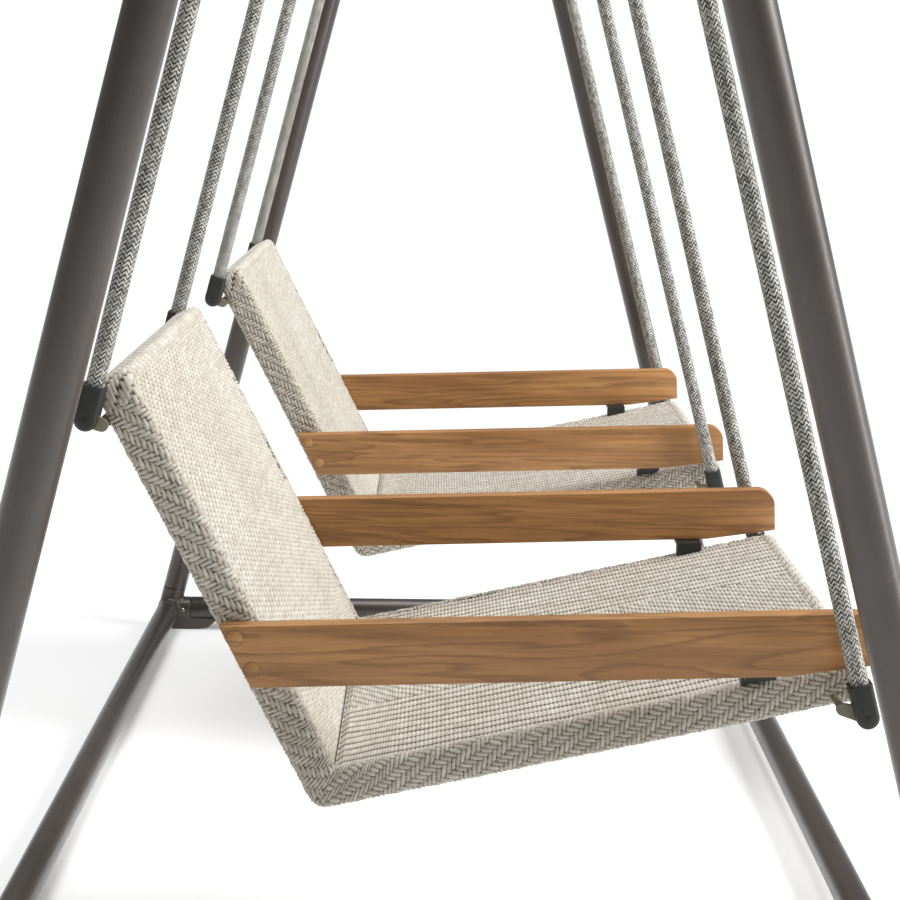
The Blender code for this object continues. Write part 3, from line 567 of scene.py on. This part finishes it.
def make_rope(seat, offset, side_name, side, end_name):
    top, bottom = rope_line(offset, side, end_name)
    down = (bottom - top).normalized()
    first, last = top + down * ROPE_START, bottom - down * ROPE_SEAT
    length = (last - first).length
    rings = int(length / ROPE_STEP)
    along, angle = np.meshgrid(np.linspace(0, length, rings),
                               np.arange(ROPE_SIDES) / ROPE_SIDES * math.tau, indexing="ij")
    relief, tint = braid(angle, along)
    radius = ROPE_RADIUS - 0.6 * BRAID_RELIEF + BRAID_RELIEF * relief
    across = np.array(down.cross(X_AXIS).normalized())
    around = np.cross(np.array(down), across)
    points = (np.array(first) + along[..., None] * np.array(down)
              + (radius * np.cos(angle))[..., None] * across
              + (radius * np.sin(angle))[..., None] * around)
    node = f"{seat}_rope_{end_name}_{side_name}"
    mesh = grid_mesh(f"{node}_braid", points, relief, tint, closed_columns=True, capped=True)
    rope = add_object(f"{node}_braid", mesh, "rope", seat, node)


# ---- woven seat ----
CORNER = np.array(SHELL_CORNER)
BACK_UP = np.array((BACK_SLOPE, 1.0)) / math.hypot(BACK_SLOPE, 1.0)
SEAT_OUT = np.array((-1.0, SEAT_SLOPE)) / math.hypot(1.0, SEAT_SLOPE)
MITRE = (BACK_UP + SEAT_OUT) / np.linalg.norm(BACK_UP + SEAT_OUT)
HALF_ANGLE = math.acos(float(BACK_UP @ SEAT_OUT)) / 2
TURN = math.pi / 2 - HALF_ANGLE                # of the bend, from its middle to one slab


def inward(along):
    """Unit normal of a slab towards the sitter."""
    normal = np.array((-along[1], along[0]))
    return normal if normal @ MITRE > 0 else -normal


def section(run, height):
    """(y, z) on the bent slab: run along it from the bend's middle, height off its outer face.

    Negative runs are up the back, positive ones out along the seat.
    """
    distance = np.abs(run)
    radius = np.clip(BEND_RADIUS - height, 0, None)
    half_arc = radius * TURN
    start = np.maximum(height, BEND_RADIUS) / math.tan(HALF_ANGLE)
    reach = half_arc + BEND_REACH - start
    travelled = np.where(distance < BEND_REACH, distance * reach / BEND_REACH,
                         reach + distance - BEND_REACH)
    turned_by = np.clip(travelled / np.maximum(radius, 1e-9), 0, TURN)
    centre = CORNER + MITRE * (BEND_RADIUS / math.sin(HALF_ANGLE))
    spot = np.zeros(run.shape + (2,))
    for along, chosen in ((BACK_UP, run < 0), (SEAT_OUT, run >= 0)):
        normal = inward(along)
        swing = (-MITRE * np.sin(TURN - turned_by)[..., None]
                 - normal * np.sin(turned_by)[..., None]) / math.sin(TURN)
        bent = centre + swing * radius[..., None]
        straight = CORNER + along * (start + travelled - half_arc)[..., None] \
            + normal * height[..., None]
        here = np.where((travelled < half_arc)[..., None], bent, straight)
        spot = np.where(chosen[..., None], here, spot)
    return spot


def tone_of(cord, family, part=0):
    """Tone of a cord, or of one float of it; family keeps crossing cords apart."""
    total = cord.astype(np.int64) + 131 * np.asarray(part).astype(np.int64) + 2339 * family
    return TONES[total % len(TONES)]


def twill(along, across, floats=3):
    """Twill of flat cords, as many over as under: relief from 0 to 1, and each cord's tone."""
    along = along + wobble(across * 5.0, along * 2.0, 0.0009)
    across = across + wobble(along * 2.7, across * 4.0, 0.0007)
    weft, warp = np.floor(along / CORD), np.floor(across / CORD)
    in_weft, in_warp = along / CORD - weft, across / CORD - warp
    step = (weft + warp) % (2 * floats)
    warp_up = step < floats
    warp_place = (step + in_weft) / floats
    weft_place = (step - floats + in_warp) / floats
    over = np.where(warp_up, warp_place, weft_place)
    crown = strand(np.where(warp_up, in_warp, in_weft)) ** 0.8
    relief = crown * (0.50 + 0.50 * np.sin(math.pi * np.clip(over, 0, 1)) ** 0.6)
    return relief, np.where(warp_up, tone_of(warp, 5), tone_of(weft, 9))


def float_weave(across, along, length, step, edges=0.5, depth=0.4):
    """Floats of cord that run across, each row shifted on from the last by a step.

    edges is how deep the grooves between the cords are, away from the floats' ends, and
    depth is how far the cords dive at those ends.
    """
    across = across + wobble(along * 2.1, across * 3.3, 0.0016)
    row = np.floor(along / CORD)
    inside = along / CORD - row
    phase = across / length + step * row
    column = np.floor(phase)
    over = phase - column
    from_end = np.minimum(over, 1 - over) * length
    dive = 1 - ramp_between(from_end, 0.0, FLOAT_END)
    relief = 1 - (1 - strand(inside) ** 0.8) * (edges + (1 - edges) * dive) - depth * dive
    relief = np.clip(relief, 0, 1)
    return relief, tone_of(row, 3, column)


def blend(weight, first, second):
    """Relief and tone between those of two weaves."""
    return tuple(a * (1 - weight) + b * weight for a, b in zip(first, second))


def ramp_between(value, low, high):
    """0 below low, 1 above high, smooth in between."""
    place = np.clip((value - low) / (high - low), 0, 1)
    return place * place * (3 - 2 * place)


def wobble(across, along, size):
    """Slow unevenness of handwork."""
    return size * (np.sin(41 * across + 17 * along) + np.sin(67 * along - 23 * across + 1.3)
                   + np.sin(29 * across - 53 * along + 4.1)) / 3


def make_panel(offset, name, low, high, height, outwards, pattern, step):
    """One face of the weave, inside the rim; outwards is the side its relief stands on."""
    reach = SHELL_HALF_WIDTH - RIM_LAP + PANEL_LAP
    first, last = (math.ceil(low / step[0]), math.floor(high / step[0]))
    columns = int(2 * reach / step[1])
    run, across = np.meshgrid(np.arange(first, last + 1) * step[0],
                              np.linspace(-reach, reach, columns), indexing="ij")
    relief, tint = pattern(across, run)
    sink = SINK + wobble(across, run, 0.0006)
    level = height + outwards * (relief * PANEL_RELIEF - sink - PANEL_RELIEF * 0.5)
    if outwards > 0:
        level -= DIP * (1 - ramp_between(np.abs(run), DIP_START, DIP_END))
    spot = section(run, level)
    points = np.concatenate([(offset + across)[..., None], spot], -1)
    if outwards < 0:
        points, relief, tint = points[:, ::-1], relief[:, ::-1], tint[:, ::-1]
    return grid_mesh(name, points, relief, tint)


def outline_path():
    """Closed path round the unrolled seat: (across, run) with outward normals and arc length."""
    half, low, high = SHELL_HALF_WIDTH, -BACK_LENGTH, SEAT_LENGTH + FRONT_PROUD
    corners = [((half, high), 0), ((-half, high), 1), ((-half, low), 2), ((half, low), 3)]
    places, normals = [], []
    for (across, run), quarter in corners:
        radius = FRONT_ROUND if run > 0 else TOP_ROUND
        centre = np.array((across - math.copysign(radius, across),
                           run - math.copysign(radius, run)))
        steps = max(4, int(radius * math.pi / 2 / RIM_STEP))
        turns = math.pi / 2 * (quarter + np.arange(steps + 1) / steps)
        ring = np.stack([np.cos(turns), np.sin(turns)], -1)
        if places:
            start, stop = places[-1][-1], centre + radius * ring[0]
            count = int(np.linalg.norm(stop - start) / RIM_STEP)
            fraction = (np.arange(1, count) / count)[:, None]
            places.append(start + (stop - start) * fraction)
            normals.append(np.repeat(ring[:1], count - 1, 0))
        places.append(centre + radius * ring)
        normals.append(ring)
    start, stop = places[-1][-1], places[0][0]
    count = int(np.linalg.norm(stop - start) / RIM_STEP)
    places.append(start + (stop - start) * (np.arange(1, count) / count)[:, None])
    normals.append(np.repeat(normals[0][:1], count - 1, 0))
    places, normals = np.concatenate(places), np.concatenate(normals)
    steps = np.linalg.norm(np.diff(places, axis=0, append=places[:1]), axis=1)
    return places, normals, np.concatenate([[0], np.cumsum(steps)[:-1]])


def edge_profile():
    """Section across the rim: (outward, height) with normals and arc length, inner face first."""
    thick, edge = SHELL_THICKNESS, SHELL_EDGE
    pieces = [(np.array((-RIM_LAP, thick)), np.array((-edge, thick)), None),
              (np.array((-edge, thick - edge)), math.pi / 2, 0.0),
              (np.array((0.0, thick - edge)), np.array((0.0, edge)), None),
              (np.array((-edge, edge)), 0.0, -math.pi / 2),
              (np.array((-edge, 0.0)), np.array((-RIM_LAP, 0.0)), None)]
    spots, normals = [], []
    for first, second, third in pieces:
        if third is None:
            length = np.linalg.norm(second - first)
            count = max(2, round(length / RIM_STEP))
            fraction = (np.arange(count) / count)[:, None]
            spots.append(first + (second - first) * fraction)
            heading = (second - first) / length
            normals.append(np.repeat([(-heading[1], heading[0])], count, 0))
        else:
            count = round(edge * math.pi / 2 / RIM_STEP)
            turns = second + (third - second) * np.arange(count) / count
            ring = np.stack([np.cos(turns), np.sin(turns)], -1)
            spots.append(first + edge * ring)
            normals.append(ring)
    spots.append(np.array([(-RIM_LAP, 0.0)]))
    normals.append(np.array([(0.0, -1.0)]))
    spots, normals = np.concatenate(spots), np.concatenate(normals)
    steps = np.linalg.norm(np.diff(spots, axis=0), axis=1)
    return spots, normals, np.concatenate([[0], np.cumsum(steps)])


def make_rim(offset, name):
    """Woven rim: herringbone bands along both sides, floats over the top and front ends."""
    places, out, length = outline_path()
    spots, facing, across = edge_profile()
    count, width = len(places), len(spots)
    run = np.repeat(places[:, 1][:, None], width, 1)
    arc_length = np.repeat(length[:, None], width, 1)
    over = np.repeat(across[None], count, 0)
    slant = np.where(run > 0, SEAT_SLANT, BACK_SLANT)
    band = twill(run * np.cos(slant) + over * np.sin(slant),
                 over * np.cos(slant) - run * np.sin(slant))
    ends = float_weave(arc_length, over, FLOAT * 1.2, 0.28, 0.34, 0.55)
    sideways = np.abs(np.repeat(out[:, 0][:, None], width, 1))
    on_band = ramp_between(sideways, 0.80, 0.97) \
        * ramp_between(run, -BACK_LENGTH + BAND_END, -BACK_LENGTH + BAND_END + 0.004)
    relief, tint = blend(on_band, ends, band)
    settle = np.minimum(over, over[:, ::-1])
    lift = RIM_RELIEF * (relief - 0.55) + wobble(run, over, 0.0005) + 0.0005 * on_band \
        - 0.0016 * (1 - ramp_between(settle, 0.0, 0.005))
    outward = spots[None, :, 0] + facing[None, :, 0] * lift
    level = spots[None, :, 1] + facing[None, :, 1] * lift
    flat = places[:, None, :] + out[:, None, :] * outward[..., None]
    spot = section(flat[..., 1], level)
    points = np.concatenate([(offset + flat[..., 0])[..., None], spot], -1)
    return grid_mesh(name, points, relief, tint, closed_rows=True)


def seat_pattern(across, run):
    """Rows of floats that end in line, so that they read as straight cords."""
    return float_weave(across + 0.0035 * np.sin(9 * run), run, FLOAT, 0.0, 0.42, 0.75)


def seat_middle(across, run):
    """Floats that step on a quarter from row to row."""
    return float_weave(across, run, FLOAT, 0.25, 0.42, 0.60)


def seat_top(across, run):
    """Face under the sitter: straight rows at the sides, the diagonal in the middle."""
    middle = ramp_between(SHELL_HALF_WIDTH - np.abs(across), 0.20, 0.22)
    return blend(np.round(middle), seat_pattern(across, run), seat_middle(across, run))


def back_front(across, run):
    """Face behind the sitter: longer floats, close together."""
    return float_weave(across, run, FLOAT * 1.2, 0.28, 0.30, 0.70)


def outer_face(across, run):
    """Face under the seat and behind the back."""
    return float_weave(across, run, FLOAT, 0.25)


def make_weave(seat, offset):
    """Rim and panels of one seat, which replace the two shells of the CAD."""
    shells = [f"{seat}_back_shell", f"{seat}_bottom_shell"]
    rim = make_rim(offset, f"{seat}_rim_weave")
    add_object(f"{seat}_rim_weave", rim, "woven_cord", seat, *shells)
    end = RIM_LAP - PANEL_LAP
    front = SEAT_LENGTH + FRONT_PROUD - end
    back = make_panel(offset, f"{seat}_back_weave", -BACK_LENGTH + end, -0.0005,
                      SHELL_THICKNESS, 1, back_front, PANEL_STEP)
    add_object(f"{seat}_back_weave", back, "woven_cord", seat, shells[0])
    top = make_panel(offset, f"{seat}_top_weave", 0.0005, front,
                     SHELL_THICKNESS, 1, seat_top, PANEL_STEP)
    add_object(f"{seat}_top_weave", top, "woven_cord", seat, shells[1])
    outer = make_panel(offset, f"{seat}_outer_weave", -BACK_LENGTH + end,
                       front, 0.0, -1, outer_face, OUTER_STEP)
    add_object(f"{seat}_outer_weave", outer, "woven_cord", seat, *shells)


# ---- armrests ----
def arm_points(steps):
    """Side view of an armrest, (y, z), from its rear top corner round the nose."""
    rear_top = Vector(ARM_REAR_TOP)
    front_top = Vector((ARM_FRONT_TOP_Y, rear_top.y + ARM_RISE * (rear_top.x - ARM_FRONT_TOP_Y)))
    front_bottom = Vector(ARM_FRONT_BOTTOM)
    down = (front_bottom - front_top).normalized()
    back = (rear_top - front_top).normalized()
    half = down.angle(back) / 2
    centre = front_top + (down + back).normalized() * (ARM_NOSE_RADIUS / math.sin(half))
    start = math.atan2(back.x, -back.y)
    rear_bottom = Vector((rear_top.x - BACK_SLOPE * ARM_REAR_HEIGHT,
                          rear_top.y - ARM_REAR_HEIGHT))
    bend = Vector((ARM_BEND_Y, rear_bottom.y + ARM_RISE * (rear_bottom.x - ARM_BEND_Y)))
    return [rear_top] + arc(centre, ARM_NOSE_RADIUS, start, start + math.pi - 2 * half, steps) \
        + [front_bottom, bend, rear_bottom]


def make_arm(seat, offset, side_name, side):
    """Board with two wood plugs, each in a fine dark joint line."""
    node = f"{seat}_armrest_{side_name}"
    low, high = sorted((side * ARM_INNER_FACE, side * (ARM_INNER_FACE + ARM_THICKNESS)))
    board = prism(arm_points(24), offset + low, offset + high)
    mesh = shaped(f"{node}_board", [(board, Matrix())], bevel=0.0018)
    add_object(f"{node}_board", mesh, "teak", seat, node)
    face = offset + side * (ARM_INNER_FACE + ARM_THICKNESS)
    for number, (y, z) in enumerate(PLUG_PLACES):
        plug, ring = turned(PLUG_PROFILE, 48), turned(PLUG_LINE_PROFILE, 48)
        place = aim((face, y, z), side * X_AXIS)
        plug_mesh = to_mesh(f"{node}_plug_{number}", [(plug, place)])
        add_object(f"{node}_plug_{number}", plug_mesh, "teak", seat, material=PLUG_TEAK)
        ring_mesh = to_mesh(f"{node}_plug_line_{number}", [(ring, place)])
        add_object(f"{node}_plug_line_{number}", ring_mesh, "teak", seat, material=DARK_TEAK)


# ---- rope fittings ----
def make_clevis(seat, offset, side_name, side, end_name):
    """Sleeve on a rope's lower end, its pin, and a screw in the back ones."""
    top, bottom = rope_line(offset, side, end_name)
    up = (top - bottom).normalized()
    place = Matrix.Translation(bottom) @ Matrix.Rotation(-math.atan2(up.y, up.z), 4, "X")
    outline = arc((0, 0), CLEVIS_HALF_WIDTH, -math.pi, 0, 28) + [
        Vector((CLEVIS_HALF_WIDTH, CLEVIS_TOP)), Vector((-CLEVIS_HALF_WIDTH, CLEVIS_TOP))]
    body = prism(outline, -CLEVIS_HALF_DEPTH, CLEVIS_HALF_DEPTH)
    upright = [edge for edge in body.edges
               if abs(edge.verts[0].co.x - edge.verts[1].co.x) < 1e-6
               and min(edge.verts[0].co.z, edge.verts[1].co.z) < CLEVIS_TOP - 1e-4]
    bmesh.ops.bevel(body, geom=upright, offset=CLEVIS_EDGE, segments=5, profile=0.5,
                    affect="EDGES")
    low = -CLEVIS_HALF_WIDTH - 0.005
    slot = prism([Vector((-0.03, low)), Vector((0.03, low)), Vector((0.03, CLEVIS_SLOT_TOP)),
                  Vector((-0.03, CLEVIS_SLOT_TOP))], -CLEVIS_SLOT / 2, CLEVIS_SLOT / 2)
    bore = rod(CLEVIS_TOP + 0.01, ROPE_RADIUS + BORE_GAP, ROPE_SEAT, 48, SHARP)
    node = f"{seat}_clevis_{end_name}_{side_name}"
    mesh = shaped(f"{node}_body", [(body, place)],
                  [(slot, place), (bore, aim(bottom, up))], bevel=0.0009)
    add_object(f"{node}_body", mesh, "charcoal_fitting", seat, node)
    reach = CLEVIS_HALF_DEPTH + PIN_PROUD
    shank = rod(reach, PIN_RADIUS, -reach, 32, 0.0006)
    pin_node = f"{seat}_pin_{end_name}_{side_name}"
    pin_mesh = to_mesh(f"{pin_node}_shank", [(shank, aim(bottom, X_AXIS))])
    # The pins take the darkened steel: painted shade.
    add_object(f"{pin_node}_shank", pin_mesh, "steel", seat, pin_node, material=SHADED_STEEL)
    if end_name == "back":
        spot = place @ Vector((0, CLEVIS_HALF_WIDTH, SCREW_HEIGHT))
        facing = place.to_3x3() @ Vector((0, 1, 0))
        screw_mesh = to_mesh(f"{node}_screw", [(turned(SCREW_PROFILE, 32), aim(spot, facing))])
        add_object(f"{node}_screw", screw_mesh, "steel", seat)


def make_hanger(seat, offset, side_name, side):
    """Collar on the beam with a socket for each of two ropes."""
    centre = Vector((offset + side * ROPE_TOP_X, 0, BEAM_HEIGHT))
    parts = [(rod(HANGER_HALF_WIDTH, HANGER_RADIUS, -HANGER_HALF_WIDTH, 96, 0.002),
              aim(centre, X_AXIS))]
    cuts = [(rod(2 * HANGER_HALF_WIDTH, BEAM_RADIUS + BORE_GAP, -2 * HANGER_HALF_WIDTH, 96, SHARP),
             aim(centre, X_AXIS))]
    for end_name in PINS:
        top, bottom = rope_line(offset, side, end_name)
        down = (bottom - top).normalized()
        parts.append((rod(SOCKET_END, SOCKET_RADIUS, BEAM_RADIUS + 0.002, 64, 0.0015),
                      aim(centre, down)))
        cuts.append((rod(SOCKET_END + 0.01, ROPE_RADIUS + BORE_GAP, ROPE_START, 48, SHARP),
                     aim(centre, down)))
    node = f"{seat}_hanger_{side_name}"
    mesh = shaped(f"{node}_casting", parts, cuts, voxel=0.0012, smoothing=5)
    add_object(f"{node}_casting", mesh, "charcoal_fitting", seat, node)


# ---- stand ----
def leg_direction(end):
    """Down the leg at one end, from the apex."""
    return Vector((0, end * LEG_SLOPE, -1)).normalized()


def base_centre(side, end):
    return Vector((side * FRAME_HALF_LENGTH, end * BASE_HALF_DEPTH, BASE_HEIGHT))


def make_tube(node, start, end, radius):
    """Round tube between two points; its open ends are inside castings."""
    start, end = Vector(start), Vector(end)
    bm = rod((end - start).length, radius, sides=96)
    mesh = to_mesh(f"{node}_tube", [(bm, aim(start, end - start))])
    add_object(f"{node}_tube", mesh, "bronze_paint", "frame", node)


def make_base_corner(node, side, end):
    """Casting with a ball, three stubs and a shoe, and the bolt on its inner side."""
    centre = base_centre(side, end)
    ball = bmesh.new()
    bmesh.ops.create_uvsphere(ball, u_segments=48, v_segments=32, radius=ELBOW_RADIUS)
    parts = [(ball, Matrix.Translation(centre))]
    for direction in (-leg_direction(end), Vector((0, -end, 0)), Vector((-side, 0, 0))):
        parts.append((rod(STUB_LENGTH, TUBE_RADIUS, 0.001, 72, 0.0012), aim(centre, direction)))
    outline = [Vector((centre.y + end * y, z)) for y, z in SHOE_OUTLINE]
    parts.append((prism(outline, centre.x - SHOE_HALF_WIDTH, centre.x + SHOE_HALF_WIDTH),
                  Matrix()))
    room = rod(0.3, TUBE_RADIUS + FIT_GAP, STUB_LENGTH - FIT_GAP, 72, SHARP)
    mesh = shaped(f"{node}_elbow", parts, [(room, aim(centre, (0, -end, 0)))], voxel=0.0015,
                  smoothing=4)
    add_object(f"{node}_elbow", mesh, "bronze_paint", "frame", node)
    facing = Vector((-side, 0, 0))
    place = centre + Vector((0, -end, 0)) * BOLT_REACH + facing * (TUBE_RADIUS - BOLT_SINK)
    bolt_mesh = to_mesh(f"{node}_bolt", [(turned(BOLT_PROFILE, 32), aim(place, facing))])
    add_object(f"{node}_bolt", bolt_mesh, "steel", "frame")


def make_apex(node, side):
    """Hub round the beam with a stub for each of two legs."""
    centre = Vector((side * FRAME_HALF_LENGTH, 0, BEAM_HEIGHT))
    parts = [(rod(APEX_HUB_HALF_WIDTH, APEX_HUB_RADIUS, -APEX_HUB_HALF_WIDTH, 96, 0.003),
              aim(centre, X_AXIS))]
    for end in ENDS.values():
        parts.append((rod(APEX_STUB_LENGTH, TUBE_RADIUS, BEAM_RADIUS + 0.001, 72, 0.0012),
                      aim(centre, leg_direction(end))))
    bore = rod(2 * APEX_HUB_HALF_WIDTH, BEAM_RADIUS + FIT_GAP, -2 * APEX_HUB_HALF_WIDTH, 96,
               SHARP)
    mesh = shaped(f"{node}_casting", parts, [(bore, aim(centre, X_AXIS))], voxel=0.0016,
                  smoothing=5)
    add_object(f"{node}_casting", mesh, "bronze_paint", "frame", node)


def make_stand():
    """Beam with caps, apex joints, legs, rails, cross bars and base corners."""
    reach = FRAME_HALF_LENGTH + BEAM_OVERHANG
    make_tube("top_beam", (-reach, 0, BEAM_HEIGHT), (reach, 0, BEAM_HEIGHT), BEAM_RADIUS)
    shoulder = STUB_LENGTH + FIT_GAP
    for end_name, end in ENDS.items():
        y = end * BASE_HALF_DEPTH
        x = FRAME_HALF_LENGTH - shoulder
        make_tube(f"ground_rail_{end_name}", (-x, y, BASE_HEIGHT), (x, y, BASE_HEIGHT),
                  TUBE_RADIUS)
    for side_name, side in SIDES.items():
        x, y = side * FRAME_HALF_LENGTH, BASE_HALF_DEPTH - shoulder
        make_tube(f"cross_bar_{side_name}", (x, -y, BASE_HEIGHT), (x, y, BASE_HEIGHT),
                  TUBE_RADIUS)
        make_apex(f"apex_joint_{side_name}", side)
        cap_place = aim((side * reach, 0, BEAM_HEIGHT), side * X_AXIS)
        cap_mesh = to_mesh(f"beam_cap_{side_name}_disc", [(turned(CAP_PROFILE, 96), cap_place)])
        add_object(f"beam_cap_{side_name}_disc", cap_mesh, "charcoal_fitting", "frame",
                   f"beam_cap_{side_name}")
        apex = Vector((x, 0, BEAM_HEIGHT))
        for end_name, end in ENDS.items():
            make_base_corner(f"base_corner_{side_name}_{end_name}", side, end)
            down = leg_direction(end)
            make_tube(f"leg_{side_name}_{end_name}",
                      base_centre(side, end) - down * shoulder,
                      apex + down * (APEX_STUB_LENGTH + FIT_GAP), TUBE_RADIUS)


# ---- floor and light ----
def make_floor():
    """Pale floor that fades into the backdrop away from the swing."""
    bm = bmesh.new()
    bmesh.ops.create_circle(bm, cap_ends=True, segments=96, radius=FLOOR_RADIUS)
    mesh = bpy.data.meshes.new("floor")
    bm.to_mesh(mesh)
    bm.free()
    graph = Graph("floor", roughness=0.75)
    graph.set("Base Color", graph.ramp(graph.noise(1.2), [(0.3, linear(240, 240, 240)),
                                                         (0.7, linear(243, 243, 244))]))
    graph.shader.inputs["Emission Color"].default_value = (1, 1, 1, 1)
    graph.shader.inputs["Emission Strength"].default_value = FLOOR_GLOW
    distance = graph.node("ShaderNodeVectorMath", operation="LENGTH")
    graph.tree.links.new(graph.place(), distance.inputs[0])
    far = graph.node("ShaderNodeMapRange", interpolation_type="SMOOTHSTEP")
    graph.tree.links.new(distance.outputs["Value"], far.inputs["Value"])
    far.inputs["From Min"].default_value = FADE_START
    far.inputs["From Max"].default_value = FADE_END
    plain = graph.node("ShaderNodeEmission")
    plain.inputs["Strength"].default_value = BACKDROP
    fade = graph.node("ShaderNodeMixShader")
    graph.tree.links.new(far.outputs["Result"], fade.inputs["Fac"])
    graph.tree.links.new(graph.shader.outputs[0], fade.inputs[1])
    graph.tree.links.new(plain.outputs[0], fade.inputs[2])
    graph.tree.links.new(fade.outputs[0], graph.tree.nodes["Material Output"].inputs["Surface"])
    mesh.materials.append(graph.material)
    floor = bpy.data.objects.new("floor", mesh)
    bpy.context.scene.collection.objects.link(floor)


def area_light(name, place, target, size, power):
    """Soft box at a place, turned towards a target."""
    data = bpy.data.lights.new(name, "AREA")
    data.shape = "RECTANGLE"
    data.size, data.size_y = size
    data.energy = power
    light = bpy.data.objects.new(name, data)
    bpy.context.scene.collection.objects.link(light)
    light.location = place
    light.rotation_euler = (Vector(target) - Vector(place)).to_track_quat("-Z", "Y").to_euler()


def make_light():
    """Even light from all round, which the camera sees as a white backdrop, and soft boxes."""
    world = bpy.data.worlds.new("studio")
    bpy.context.scene.world = world
    world.use_nodes = True
    tree = world.node_tree
    lighting = tree.nodes["Background"]
    lighting.inputs["Color"].default_value = (1, 1, 1, 1)
    lighting.inputs["Strength"].default_value = WORLD_LIGHT
    backdrop = tree.nodes.new("ShaderNodeBackground")
    backdrop.inputs["Color"].default_value = (1, 1, 1, 1)
    backdrop.inputs["Strength"].default_value = BACKDROP
    choose = tree.nodes.new("ShaderNodeMixShader")
    path = tree.nodes.new("ShaderNodeLightPath")
    tree.links.new(path.outputs["Is Camera Ray"], choose.inputs["Fac"])
    tree.links.new(lighting.outputs[0], choose.inputs[1])
    tree.links.new(backdrop.outputs[0], choose.inputs[2])
    tree.links.new(choose.outputs[0], tree.nodes["World Output"].inputs["Surface"])
    area_light("key", (-1.0, -4.4, 4.2), (0, 0, 0.5), (2.3, 2.3), KEY_POWER)
    area_light("overhead", (0.6, 0.4, 5.0), (0, 0, 0), (2.7, 2.7), TOP_POWER)
    area_light("strip", (-1.1, -3.9, 1.7), (-0.8, 0, 1.2), (0.35, 3.2), STRIP_POWER)


make_camera()
for seat_name, seat_x in SEATS.items():
    for side_label, side_sign in SIDES.items():
        for end_label in ENDS:
            make_rope(seat_name, seat_x, side_label, side_sign, end_label)
            make_clevis(seat_name, seat_x, side_label, side_sign, end_label)
        make_hanger(seat_name, seat_x, side_label, side_sign)
        make_arm(seat_name, seat_x, side_label, side_sign)
    make_weave(seat_name, seat_x)
    for kept, finish in ((f"{seat_name}_inner_frame", OLIVE),
                         (f"{seat_name}_arm_bracket_left", CHARCOAL),
                         (f"{seat_name}_arm_bracket_right", CHARCOAL)):
        for slot in bpy.data.objects[kept].material_slots:
            slot.material = finish
make_stand()
make_floor()
make_light()
bpy.context.scene.view_settings.view_transform = "Standard"
